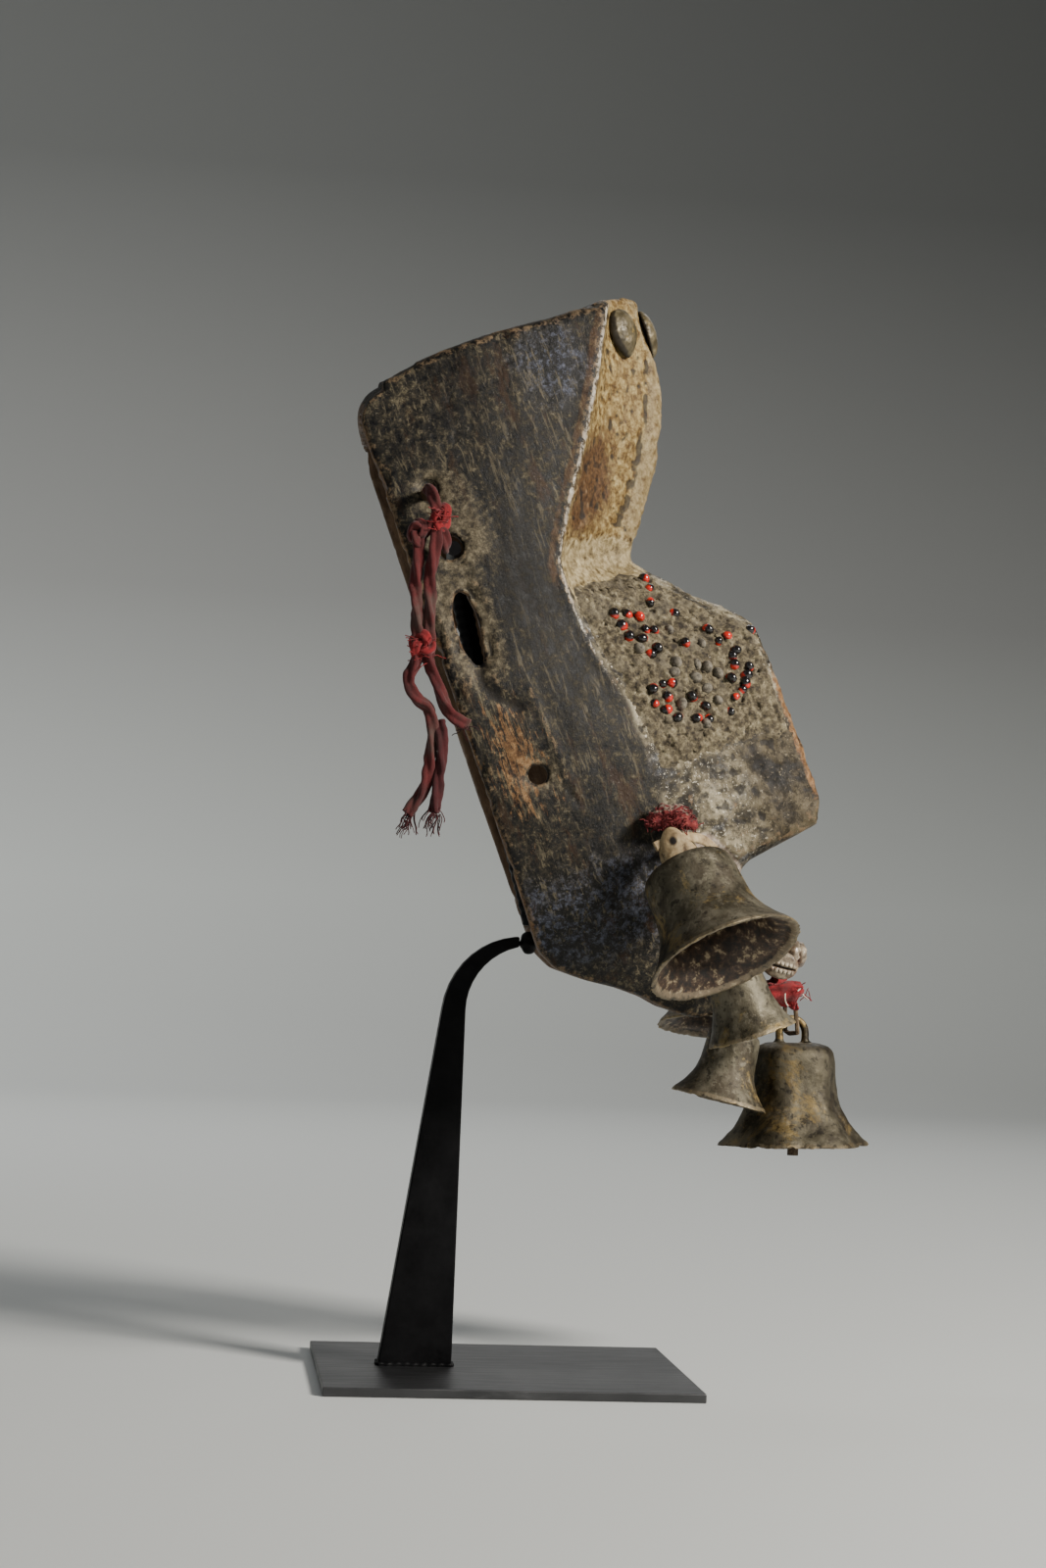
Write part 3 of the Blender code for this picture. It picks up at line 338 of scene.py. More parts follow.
# %% Sweep the cord
def sweep(points, radius, lobes=3, twist=5.0, sides=20, rough=0.10, seed=0, taper=None, lobe_depth=0.42):
    """A closed tube along points with a lobed outline that twists. Twist is turns per 100 mm."""
    bm = bmesh.new()
    rings = []
    side = None
    run = 0.0
    for k, p in enumerate(points):
        before, after = points[max(0, k - 1)], points[min(len(points) - 1, k + 1)]
        ahead = (after - before).normalized()
        if side is None:
            side = ahead.orthogonal().normalized()
        side = (side - ahead * side.dot(ahead)).normalized()
        across = ahead.cross(side)
        if k:
            run += (p - points[k - 1]).length
        wide = radius * (taper(k / (len(points) - 1)) if taper else 1.0)
        ring = []
        for j in range(sides):
            a = 2 * math.pi * j / sides
            lobe = 1 - lobe_depth * (0.5 + 0.5
                                     * math.cos(lobes * (a + run * 10 * twist * 2 * math.pi / lobes)))
            wobble = 1 + rough * noise.noise(Vector((a * 0.9 + seed, run * 260, seed * 3.1)))
            r = wide * lobe * wobble
            ring.append(bm.verts.new(p + (side * math.cos(a) + across * math.sin(a)) * r))
        rings.append(ring)
    join_rings(bm, rings)
    for ring in (rings[0], rings[-1]):
        tip = bm.verts.new(sum((v.co for v in ring), Vector()) / sides)
        for j in range(sides):
            bm.faces.new((ring[j], ring[(j + 1) % sides], tip))
    return mesh_of(bm, "sweep")


def rag_finish(name, bright, dusty, dusty_share):
    rag = Finish(name, roughness=0.95)
    weave = rag.noise(900, 2, 0.6)
    fibres = rag.noise(260, 5, 0.7, stretch=(1, 1, 0.25))
    dust = rag.noise(60, 4, 0.6)
    red = rag.ramp(fibres, (0.30, tuple(c * 0.35 for c in bright)), (0.52, bright),
                 (0.75, tuple(min(1, c * 1.35) for c in bright)))
    colour = rag.lay(dust, 0.62 - dusty_share * 0.4, 0.80 - dusty_share * 0.3, 0.85, red, dusty)
    rag.shader.inputs["Sheen Weight"].default_value = 0.08
    rag.shader.inputs["Sheen Roughness"].default_value = 0.5
    return rag.done(colour, height=rag.mix(0.5, weave, fibres), strength=0.8, depth=0.0005)


RAG_RED = rag_finish("red_rag", (0.185, 0.006, 0.008), (0.10, 0.045, 0.036), 0.12)
RAG_DUSTY = rag_finish("dusty_rag", (0.068, 0.0050, 0.0055), (0.058, 0.036, 0.028), 0.36)
# painted shade: a darker copy of the rag for the hanging tassel's strand and ends; on the short right end
# it is the dark frayed tip's own colour
RAG_SHADE_AND_DARK_TIP = rag_finish("dark_rag", (0.042, 0.0018, 0.003), (0.030, 0.012, 0.010), 0.1)

CORD_NODES = {
    "cloth_cord_left": ("cord_from_hole", "cord_left_strand", "cord_loop"),
    "cloth_cord_right": ("cord_to_pin", "cord_right_strand", "cord_right_tail"),
    "cloth_cord_tail": ("cord_tail",),
}
for k, (cord_name, (points, length)) in enumerate(cord_lines.items()):
    fine, _ = spread(points, int(length * 1000 * RINGS_PER_MM))
    mesh = sweep(fine, CORD_WIDTH / 2 * RAG_SWELL, seed=k * 2.3, sides=28, rough=0.22)
    # painted shade: the tassel's tail strand gets the darker copy of the rag
    finish = RAG_SHADE_AND_DARK_TIP if cord_name == "cloth_cord_tail" else RAG_DUSTY
    add_piece(cord_name, mesh, finish, CORD_NODES[cord_name])
    print(cord_name, len(mesh.polygons), "faces")

# %% [markdown]
# Each knot is the same rag wound over itself. A torus knot path gives the over and under of the
# turns, squeezed into the knot's own lump.

# %% Knots
KNOTS = {                       # place, size, turn, finish, half width of the strip
    "knot_upper": ((-48.8, -73, 374), (9, 8, 14), 15, RAG_RED, 2.1),
    "knot_beside": ((-58.4, -73, 367.5), (9, 8, 13), 0, RAG_DUSTY, 2.0),
    "knot_middle": ((-54.4, -74, 319), (12, 9, 13.5), 10, RAG_RED, 2.3),
}


def knot_mesh(size, rag, turns=(2, 3), seed=0.0):
    points = []
    p, q = turns
    for k in range(150):
        a = 2 * math.pi * k / 150
        r = 1 + 0.46 * math.cos(q * a + seed)
        points.append(Vector((r * math.cos(p * a) / 1.46 * (size[0] / 2 - rag * 0.75),
                              math.sin(q * a + seed) * (size[1] / 2 - rag * 0.75),
                              r * math.sin(p * a) / 1.46 * (size[2] / 2 - rag * 0.75))) * MM)
    points.append(points[0])
    return sweep(points, rag * MM, lobes=3, twist=6, sides=14, seed=seed, rough=0.16)


for k, (knot, (at, size, turn, finish, rag)) in enumerate(KNOTS.items()):
    mesh = knot_mesh(size, rag, seed=0.7 + k)
    mesh.transform(Matrix.Translation(Vector(at) * MM) @ Matrix.Rotation(math.radians(turn), 4, "Y"))
    piece = add_piece(knot, mesh, finish)
    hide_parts(knot)
    print(knot, "placed")

# %% [markdown]
# Frayed ends are loose threads. A Geometry Nodes tree lays one bent thread on every point of a
# small cloud at the cord's end, turns each by its own random amount, and makes them one mesh.


# %% Frayed threads
def new_tree(name, **settings):
    """A Geometry Nodes tree with its input, and a few numbers to set from outside."""
    tree = bpy.data.node_groups.new(name, "GeometryNodeTree")
    tree.interface.new_socket("Geometry", in_out="INPUT", socket_type="NodeSocketGeometry")
    for label, value in settings.items():
        socket = tree.interface.new_socket(label, in_out="INPUT", socket_type="NodeSocketFloat")
        socket.default_value = value
    tree.interface.new_socket("Geometry", in_out="OUTPUT", socket_type="NodeSocketGeometry")
    return tree, add_node(tree, "NodeGroupInput").outputs


def painted(tree, geometry, finish):
    """The tree's output: one real mesh in its finish."""
    whole = add_node(tree, "GeometryNodeRealizeInstances", {0: geometry})
    paint = add_node(tree, "GeometryNodeSetMaterial", {0: whole, "Material": finish})
    add_node(tree, "NodeGroupOutput", {0: paint})


def thread_tree(name, finish, length, thickness, fan):
    """Threads that start on the input's points and fan out along a direction."""
    tree, given = new_tree(name, Length=length, Thickness=thickness, Fan=fan)
    line = add_node(tree, "GeometryNodeCurvePrimitiveLine",
                    {"Direction": (0, 0, -1), "Length": given["Length"]}, mode="DIRECTION")
    fine = add_node(tree, "GeometryNodeResampleCurve", {0: line, "Count": 8})
    flip = add_node(tree, "ShaderNodeVectorMath", {0: given["Fan"], "Scale": -1.0}, operation="SCALE")
    turn = add_node(tree, "FunctionNodeRandomValue", {0: flip, 1: given["Fan"], "Seed": 5},
                    data_type="FLOAT_VECTOR")
    grow = add_node(tree, "FunctionNodeRandomValue", {2: 0.55, 3: 1.1, "Seed": 9})
    place = add_node(tree, "GeometryNodeInstanceOnPoints",
                     {"Points": given["Geometry"], "Instance": fine, "Rotation": turn,
                      "Scale": grow.outputs[1]})
    real = add_node(tree, "GeometryNodeRealizeInstances", {0: place})
    wave = add_node(tree, "ShaderNodeTexNoise", {"Scale": 150, "Detail": 1})
    middle = add_node(tree, "ShaderNodeVectorMath", {0: wave.outputs["Color"], 1: (0.5, 0.5, 0.5)},
                      operation="SUBTRACT")
    reach = add_node(tree, "ShaderNodeVectorMath", {0: middle, "Scale": 0.006}, operation="SCALE")
    bend = add_node(tree, "GeometryNodeSetPosition", {"Geometry": real, "Offset": reach})
    ring = add_node(tree, "GeometryNodeCurvePrimitiveCircle",
                    {"Resolution": 4, "Radius": given["Thickness"]})
    skin = add_node(tree, "GeometryNodeCurveToMesh",
                    {"Curve": bend, "Profile Curve": ring, "Fill Caps": True})
    painted(tree, skin, finish)
    return tree


def socket_id(tree, label):
    return next(s.identifier for s in tree.interface.items_tree if s.name == label and s.in_out == "INPUT")


def grown(points, tree, settings=None, normals=None):
    """The plain mesh that a tree grows on a cloud of points."""
    cloud = bpy.data.meshes.new("cloud")
    cloud.from_pydata([tuple(p) for p in points], [], [])
    if normals is not None:
        way = cloud.attributes.new("way", "FLOAT_VECTOR", "POINT")
        way.data.foreach_set("vector", np.array([tuple(n) for n in normals], dtype=np.float32).ravel())
    holder = bpy.data.objects.new("cloud", cloud)
    bpy.context.scene.collection.objects.link(holder)
    nodes = holder.modifiers.new("grow", "NODES")
    nodes.node_group = tree
    for label, value in (settings or {}).items():
        nodes[socket_id(tree, label)] = value
    bpy.context.view_layer.update()
    mesh = bpy.data.meshes.new_from_object(holder.evaluated_get(bpy.context.evaluated_depsgraph_get()))
    bpy.data.objects.remove(holder, do_unlink=True)
    return mesh


FRAYS = {                       # place, spread, threads, length, fan
    # painted shade on the tassel's two frayed ends; the right end's dark frayed tip is its own colour
    "fray_left": ((-57.7, -74, 248), 2.4, 26, 0.010, 0.45, RAG_SHADE_AND_DARK_TIP),
    "fray_tail": ((-46.5, -75, 249), 2.4, 26, 0.010, 0.45, RAG_SHADE_AND_DARK_TIP),
    "fray_right": ((-34.5, -71.2, 286.5), 1.6, 12, 0.006, 1.3, RAG_SHADE_AND_DARK_TIP),
    "fray_knot": ((-54, -75.5, 318), 5.0, 22, 0.007, 2.6, RAG_RED),
    "fray_upper": ((-50, -75.5, 373), 5.0, 20, 0.006, 2.6, RAG_RED),
}
random.seed(4)
for fray, (at, wide, count, length, fan, finish) in FRAYS.items():
    cloud = [(Vector(at) + Vector([random.uniform(-wide, wide) * s for s in (0.8, 0.6, 1.0)])) * MM
             for _ in range(count)]
    mesh = grown(cloud, thread_tree(fray, finish, length, 0.00022, fan))
    add_piece(fray, mesh, finish)
    print(fray, len(mesh.polygons), "faces")

points, length = cord_lines["cloth_cord_left"]
points, length = cord_lines["cloth_cord_right"]
points, length = cord_lines["cloth_cord_tail"]

# %% [markdown]
# The mask is one block of wood, so its piece starts as the block in the model. A voxel remesh
# gives it an even skin of small faces, which can then be carved: broad cuts of the knife, worn
# edges, hollows round the holes, cracks and a rough patch in the eye's hollow. The carving is
# written as lines and places in the mask's frame, the same on both sides.


# %% Even skin over a CAD piece
def even_skin(node_names, voxel, soften=4, factor=0.5):
    """CAD nodes joined under one skin of small even faces."""
    bm = bmesh.new()
    for node in node_names:
        bm.from_mesh(NODES[node].data)
    bmesh.ops.remove_doubles(bm, verts=bm.verts, dist=0.00001)
    mesh = bpy.data.meshes.new("skin")
    bm.to_mesh(mesh)
    bm.free()
    mesh.materials.clear()
    return skinned(mesh, voxel, soften, factor)


def skinned(mesh, voxel, soften=4, factor=0.5):
    holder = bpy.data.objects.new("skin", mesh)
    bpy.context.scene.collection.objects.link(holder)
    remesh = holder.modifiers.new("skin", "REMESH")
    remesh.mode = "VOXEL"
    remesh.voxel_size = voxel
    if soften:
        smooth = holder.modifiers.new("soften", "SMOOTH")
        smooth.factor = factor
        smooth.iterations = soften
    bpy.context.view_layer.update()
    made = bpy.data.meshes.new_from_object(holder.evaluated_get(bpy.context.evaluated_depsgraph_get()))
    bpy.data.objects.remove(holder, do_unlink=True)
    return made


TO_MASK = np.array(MASK_FRAME.inverted())
FROM_MASK = np.array(MASK_FRAME.to_3x3())


def in_mask(xyz):
    """Places in the room as millimetres forward, across and up in the mask's frame."""
    return (xyz @ TO_MASK[:3, :3].T + TO_MASK[:3, 3]) * 1000


def places_of(mesh):
    xyz = np.empty(len(mesh.vertices) * 3)
    mesh.vertices.foreach_get("co", xyz)
    return xyz.reshape(-1, 3)


def normals_of(mesh):
    xyz = np.empty(len(mesh.vertices) * 3)
    mesh.vertex_normals.foreach_get("vector", xyz)
    return xyz.reshape(-1, 3)


def edges_of(mesh):
    pairs = np.empty(len(mesh.edges) * 2, dtype=int)
    mesh.edges.foreach_get("vertices", pairs)
    return pairs.reshape(-1, 2)


def averaged(values, pairs, rounds=1):
    """Values evened out over the neighbours of each vertex."""
    for _ in range(rounds):
        total = np.zeros_like(values)
        count = np.zeros(len(values))
        for a, b in ((pairs[:, 0], pairs[:, 1]), (pairs[:, 1], pairs[:, 0])):
            np.add.at(total, a, values[b])
            np.add.at(count, a, 1)
        count = np.maximum(count, 1)
        values = 0.5 * values + 0.5 * (total.T / count).T
    return values


def store(mesh, name, values):
    """A zone for the finish: one number from 0 to 1 on every vertex."""
    made = mesh.attributes.new(name, "FLOAT", "POINT")
    made.data.foreach_set("value", np.ascontiguousarray(np.clip(values, 0, 1), dtype=np.float32))


def move_to(mesh, xyz):
    mesh.vertices.foreach_set("co", xyz.ravel())
    mesh.update()


def bulges(xyz, out, pairs):
    """How far each vertex stands out of its neighbours: edges are above 0, dips below."""
    mean = averaged(xyz, pairs, 1) * 2 - xyz
    return np.einsum("ij,ij->i", xyz - mean, out)


def grain(points, scale, octaves=3, shift=0.0):
    """Fractal noise from about -1 to 1 at every point; the points are in millimetres."""
    at = points * scale + shift
    return np.array([noise.fractal(Vector(p), 0.7, 2.1, octaves) for p in at.tolist()])


def ramp_up(values, low, high):
    t = np.clip((values - low) / (high - low), 0, 1)
    return t * t * (3 - 2 * t)


def near(off, width):
    """1 where the distance is 0, fading to nothing at about twice the width."""
    return np.exp(-(off / width) ** 2)


def spot(at_forward, at_up, width, height):
    """A soft round patch on the mask's side."""
    return np.exp(-((forward - at_forward) / width) ** 2 - ((up - at_up) / height) ** 2)


def line_distance(points, line):
    """Distance of 2D points to a polyline, and how far along the line the nearest place is."""
    best = np.full(len(points), 1e9)
    where = np.zeros(len(points))
    line = np.array(line, dtype=float)
    for k in range(len(line) - 1):
        a, b = line[k], line[k + 1]
        run = b - a
        t = np.clip(((points - a) @ run) / (run @ run), 0, 1)
        d = np.linalg.norm(points - (a + t[:, None] * run), axis=1)
        nearer = d < best
        best = np.where(nearer, d, best)
        where = np.where(nearer, (k + t) / (len(line) - 1), where)
    return best, where


# %% Lines and places of the carving, forward and up in millimetres
RIDGE = [(122.5, 12.5), (112.5, -4.9), (105.9, -18.8), (96.5, -34.9), (87.5, -50.5), (75.4, -69.6),
         (66.5, -84.9), (62.3, -93.5), (61.6, -101.5), (61.8, -115.2), (63.4, -131.4), (67.5, -151.0),
         (70.6, -163.2), (71.2, -181.3)]
CREASE = [(134.9, -14.3), (129.5, -29.5), (125.6, -39.2), (115.6, -55.5), (111.9, -62.2), (106.0, -71.2),
          (98.7, -81.2)]
EYE_HOLLOW = (80.5, -98.0, 19.0, 17.0)          # middle and half sizes
CRACKS = [([(83.7, -64.7), (82.9, -70), (80.7, -77.2)], 1.1, 2.0),
          ([(35.1, -188.2), (34.6, -192), (36.2, -196.9)], 0.9, 1.6),
          ([(40.5, -7), (38, -25), (36.6, -33)], 0.5, 0.7),
          ([(21, -86), (24, -99), (23.5, -112)], 0.5, 0.6)]       # line, width, depth
KEEL = [(32.1, -142.8), (34.1, -165.7), (35.0, -183.2), (35.7, -195.9)]
GROOVE = [(14.5, -126), (13.5, -135.8), (17.6, -142.6), (24.5, -149.8)]
HOLES = [(18.3, -48.7, 4.1), (19.5, -74.6, 5.5), (23.6, -179.7, 4.6)]    # middle, radius
SLOT_LINE = [(14.0, -97), (15.4, -110), (15.4, -123)]
MOUTH_LINE = [(110, -267), (100, -262), (93, -252), (88, -243), (83, -234)]

PIN_HOLE = (20.5, -75.5)
REAR_CORNER = 15.0              # radius of the round between the rim and the top
DEEPEST, HIGHEST = -4.5, 1.4    # how far the carving may go in and out

# %% Carve the mask
MASK_VOXEL = 0.00173            # fine enough for the cuts, and below 200,000 triangles
mask_mesh = even_skin(["mask"], MASK_VOXEL, soften=5)
xyz = places_of(mask_mesh)
pairs = edges_of(mask_mesh)
out = normals_of(mask_mesh)
local = in_mask(xyz)
out_local = out @ TO_MASK[:3, :3].T
forward, across, up = local.T
flat = local[:, [0, 2]]
side_facing = out_local[:, 1] * np.sign(across)
front_facing = out_local[:, 0]
print("mask skin:", len(xyz), "vertices")

ridge_off, ridge_at = line_distance(flat, RIDGE)
crease_off, _ = line_distance(flat, CREASE)
ridge_forward = np.interp(up, [p[1] for p in RIDGE[::-1]], [p[0] for p in RIDGE[::-1]])
outer = (side_facing > 0.15) | ((front_facing > 0.2) & (forward > 58))
outer = averaged(outer.astype(float), pairs, 2)
side = ramp_up(side_facing, 0.45, 0.75) * ramp_up(ridge_forward - forward, -3, 2)
facet = outer * ramp_up(forward - ridge_forward, -1.5, 3.0)

relief = 0.40 * grain(local, 1 / 26, 2) + 0.22 * grain(local, 1 / 9, 3, 7.0)
# broad knife cuts that run along the grain of the wood
cuts = grain(local * np.array([1 / 7, 1 / 7, 1 / 34]), 1.0, 2, 3.0)
relief += 0.18 * cuts
relief += 0.08 * grain(local, 1 / 2.6, 2, 11.0)
relief *= 0.35 + 0.65 * outer

ridge_share = near(ridge_off, 2.6) * outer
relief += 1.0 * ridge_share * (1 - ramp_up(ridge_at, 0.75, 1.0))
# the brow: a step down from the crest to the facet, and a rough facet
brow = facet * ramp_up(up, -96, -84)
relief -= 0.9 * brow * near(crease_off - 0.6, 2.0)
relief += 0.55 * brow * grain(local, 1 / 3.2, 3, 23.0)
u_hollow = np.hypot((forward - EYE_HOLLOW[0]) / EYE_HOLLOW[2], (up - EYE_HOLLOW[1]) / EYE_HOLLOW[3])
hollow = facet * ramp_up(1.15 - u_hollow, 0.0, 0.7)
relief -= 3.2 * hollow
strands = np.sin((forward * 0.55 + up * 0.83) * 1.9 + 2.2 * grain(local, 1 / 12, 2, 5.0))
relief += 0.14 * hollow * strands + 0.35 * hollow * grain(local, 1 / 3.0, 3, 29.0)
for line, wide, deep in CRACKS:
    off, _ = line_distance(flat + 0.35 * np.stack([cuts, cuts], axis=1), line)
    relief -= deep * np.exp(-(off / wide) ** 2) * np.maximum(side, facet)
off, _ = line_distance(flat, KEEL)
relief += 0.7 * near(off, 1.8) * side
off, _ = line_distance(flat, GROOVE)
relief -= 1.4 * near(off, 3.0) * side
pale_round = np.zeros(len(xyz))
for w, u, r in HOLES:
    off = np.hypot(forward - w, up - u)
    dish = near(np.maximum(off - r, 0), 6.0)
    relief -= 0.7 * dish * side
    pale_round = np.maximum(pale_round, near(np.maximum(off - r, 0), 7.0) * 0.8)
slot_off, _ = line_distance(flat, SLOT_LINE)
relief -= 1.0 * near(np.maximum(slot_off - 5, 0), 5.0) * side
pale_round = np.maximum(pale_round, near(np.maximum(slot_off - 5, 0), 8.0))
# the muzzle below the mud is pitted
muzzle = facet * ramp_up(-up, 100, 112)
pits = grain(local, 1 / 6.5, 4, 31.0)
relief -= 0.8 * muzzle * ramp_up(pits, 0.20, 0.75)
relief += 0.6 * muzzle * grain(local, 1 / 5, 4, 17.0)
# chips bitten out of the rim and the muzzle's edge
chips = grain(local, 1 / 11, 2, 41.0)
edge_now = averaged(bulges(xyz, out, pairs), pairs, 6)
edge_share = ramp_up(edge_now, 0.00002, 0.00010)
relief -= 1.6 * edge_share * ramp_up(chips, 0.15, 0.7)

seats = np.zeros(len(xyz))
for node in ("brow_stud_near", "brow_stud_middle", "brow_stud_far"):
    low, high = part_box(node)
    middle, reach = (np.array(low) + np.array(high)) / 2, max(np.array(high) - np.array(low)) / 2
    seats = np.maximum(seats, ramp_up(reach * 1.35 - np.linalg.norm(xyz - middle, axis=1), 0, 0.003))
pin_off = np.hypot(forward - PIN_HOLE[0], up - PIN_HOLE[1])
relief *= (1 - 0.85 * seats) * ramp_up(pin_off, 4.5, 7.0)
top_back = 1.5 + 11.5 * (1 - np.minimum(1, np.abs(across) / 54) ** 2)
over_w, over_u = REAR_CORNER - forward, up - (top_back - REAR_CORNER)
past = np.where((over_w > 0) & (over_u > 0) & (forward > -2), np.hypot(over_w, over_u) - REAR_CORNER, 0)
relief = np.clip(relief, DEEPEST, HIGHEST)
xyz = xyz + out * relief[:, None] * MM
way = np.stack([over_w, np.zeros(len(xyz)), -over_u], axis=1)
way /= np.maximum(np.linalg.norm(way, axis=1), 1e-6)[:, None]
rounding = (way * np.maximum(past, 0)[:, None]) @ FROM_MASK.T
xyz = xyz + rounding * MM
move_to(mask_mesh, xyz)

# %% [markdown]
# The finish follows what happened to the mask: dark blue grey paint over the sides, chalk on the
# ridge, ochre and dirt on the brow, pale rubbed wood in the eye's hollow and round the holes,
# bare brown wood where hands wore the edges, and raw wood inside. Each of these is a zone kept
# on the vertices; the material breaks its edges up with noise. Painted shade is laid on as well:
# the middle of the side and the carving's concave dips are darkened.

# %% Zones of the finish
out = normals_of(mask_mesh)
edge = averaged(bulges(xyz, out, pairs), pairs, 3)
store(mask_mesh, "edge", 0.5 + edge / 0.00014)
rim_wear = near(np.maximum(forward, 0), 2.6) * ramp_up(up, -262, -250)
top_line = np.interp(forward, [0, 30, 65, 100, 140], [2.5, 9.5, 13.5, 14.5, 15.0])
top_wear = near(np.maximum(top_line - up, 0), 3.0) * ramp_up(side_facing, -0.2, 0.3)
foot_wear = ramp_up(-up, 283, 296) * outer
front_edge = near(forward - 141, 3.6) * ramp_up(-up, 150, 175) * ramp_up(up, -236, -224)
store(mask_mesh, "worn", np.maximum.reduce([0.85 * rim_wear, 0.5 * top_wear, 0.6 * foot_wear,
                                            front_edge * outer]))
chalk = near(ridge_off, 1.9) * (1 - ramp_up(ridge_at, 0.80, 1.0)) * outer
store(mask_mesh, "chalk", chalk)
umber = near(ridge_forward - forward - 3.5, 3.2) * side * (1 - ramp_up(ridge_at, 0.6, 0.8))
store(mask_mesh, "umber", umber)
store(mask_mesh, "brow", brow)
crest = brow * ramp_up(forward - np.interp(up, [p[1] for p in CREASE[::-1]],
                                          [p[0] for p in CREASE[::-1]]), -4, 6)
store(mask_mesh, "crest", crest)
brow_low = brow * near(up + 62, 26) * near(forward - ridge_forward - 10, 13)
store(mask_mesh, "brow_low", brow_low)
scoop = ramp_up(forward - ridge_forward, 0.5, 3.0) * ramp_up(1.45 - u_hollow, 0.0, 0.55)
scoop = scoop * (1 - ramp_up(up, -92, -80)) * ramp_up(np.maximum(side_facing, front_facing), -0.05, 0.15)
store(mask_mesh, "hollow", scoop)
store(mask_mesh, "pale", pale_round * side + 0.6 * spot(30, -66, 14, 26) * side)
store(mask_mesh, "muzzle", muzzle)
store(mask_mesh, "grimy", muzzle * ramp_up(forward, 96, 122) * ramp_up(-up, 178, 196))
# painted shade: a soft darker patch over the middle of the side
store(mask_mesh, "dusk", side * spot(45, -88, 24, 46))
store(mask_mesh, "raw", np.clip(1 - outer * 1.6, 0, 1) * ramp_up(12 - up, 0, 6)
      * (1 - np.clip(scoop * 3, 0, 1)))
mouth_off, _ = line_distance(flat, MOUTH_LINE)
lips = near(np.maximum(mouth_off - 5.0, 0), 3.4) * outer * ramp_up(forward, 76, 84)
store(mask_mesh, "lips", lips)
scratch = spot(17, -172, 12, 30) * side
store(mask_mesh, "scratched", scratch)
store(mask_mesh, "blue", side * np.maximum(spot(88, -10, 24, 26), near(up + 245, 30)))
print("zones stored")

# %% Finish of the painted wood
wood = Finish("painted_wood_surface", roughness=0.62, turned=True)
broad = wood.noise(22, 4, 0.6)
middle_grain = wood.noise(85, 5, 0.62)
fine_grain = wood.noise(340, 5, 0.68)
fibre = wood.noise(60, 6, 0.7, stretch=(4.2, 4.2, 0.55))
gritty = wood.noise(290, 7, 0.78)
gritty_fine = wood.noise(620, 5, 0.75)
thin_scrape = wood.noise(210, 5, 0.75, stretch=(2.0, 2.0, 0.30), distortion=0.5)
dark_paint = wood.ramp(gritty, (0.36, (0.005, 0.005, 0.006)), (0.47, (0.016, 0.015, 0.013)),
                       (0.55, (0.042, 0.035, 0.023)), (0.62, (0.130, 0.108, 0.066)),
                       (0.72, (0.32, 0.275, 0.185)))
colour = wood.lay(thin_scrape, 0.55, 0.62, 0.75, dark_paint, (0.190, 0.158, 0.098))
colour = wood.lay(wood.noise(70, 6, 0.75, stretch=(1.6, 1.6, 0.4)), 0.56, 0.64, 0.65, colour,
                  (0.062, 0.030, 0.013))
colour = wood.lay(gritty_fine, 0.62, 0.68, 0.6, colour, (0.29, 0.26, 0.20))
colour = wood.mix(0.90, colour, wood.ramp(broad, (0.34, 0.30), (0.62, 0.80)), "MULTIPLY")
# painted shade: the dusk zone darkens the middle of the side
colour = wood.mix(wood.maths("MULTIPLY", wood.zone("dusk"), 0.95), colour, (0.16, 0.155, 0.15), "MULTIPLY")
blue_wash = wood.patch(wood.zone("blue"), wood.noise(130, 5, 0.7), 0.50, 0.66)
colour = wood.mix(wood.maths("MULTIPLY", blue_wash, wood.ramp(gritty, (0.48, 0.0), (0.56, 0.75))), colour,
                  wood.ramp(gritty_fine, (0.40, (0.012, 0.014, 0.024)), (0.62, (0.110, 0.125, 0.175))))
umber_colour = wood.ramp(fine_grain, (0.32, (0.060, 0.028, 0.012)), (0.6, (0.20, 0.105, 0.045)))
umber_marks = wood.patch(wood.zone("umber"), wood.noise(90, 6, 0.75), 0.60, 0.70)
colour = wood.mix(wood.maths("MULTIPLY", umber_marks, 0.3), colour, umber_colour)
colour = wood.mix(wood.maths("MULTIPLY", wood.patch(wood.zone("pale"), gritty, 0.40, 0.66), 0.8),
                  colour, wood.ramp(gritty, (0.38, (0.030, 0.024, 0.016)),
                                    (0.50, (0.105, 0.085, 0.052)), (0.66, (0.265, 0.225, 0.150))))
muzzle_colour = wood.ramp(middle_grain, (0.38, (0.012, 0.010, 0.007)), (0.47, (0.062, 0.050, 0.029)),
                          (0.54, (0.180, 0.150, 0.092)), (0.66, (0.35, 0.305, 0.205)))
muzzle_colour = wood.lay(gritty, 0.50, 0.58, 0.7, muzzle_colour, (0.030, 0.026, 0.018))
muzzle_colour = wood.lay(wood.noise(48, 5, 0.7, distortion=0.4), 0.54, 0.62, 0.45, muzzle_colour,
                         wood.ramp(gritty_fine, (0.42, (0.020, 0.022, 0.030)),
                                   (0.62, (0.235, 0.245, 0.265))))
muzzle_colour = wood.lay(gritty_fine, 0.59, 0.64, 0.95, muzzle_colour, (0.62, 0.57, 0.46))
muzzle_colour = wood.mix(wood.zone("grimy"), muzzle_colour, (0.30, 0.27, 0.22), "MULTIPLY")
colour = wood.mix(wood.zone("muzzle"), colour, muzzle_colour)
brow_colour = wood.ramp(gritty, (0.36, (0.040, 0.019, 0.005)), (0.46, (0.135, 0.082, 0.026)),
                        (0.55, (0.255, 0.185, 0.075)), (0.68, (0.42, 0.345, 0.175)))
dirt_low = wood.patch(wood.zone("brow_low"), wood.noise(55, 6, 0.72, distortion=0.6), 0.44, 0.58, 0.6)
brow_colour = wood.mix(wood.maths("MULTIPLY", dirt_low, 0.96), brow_colour,
                       wood.ramp(gritty_fine, (0.40, (0.030, 0.014, 0.007)), (0.62, (0.115, 0.060, 0.025))))
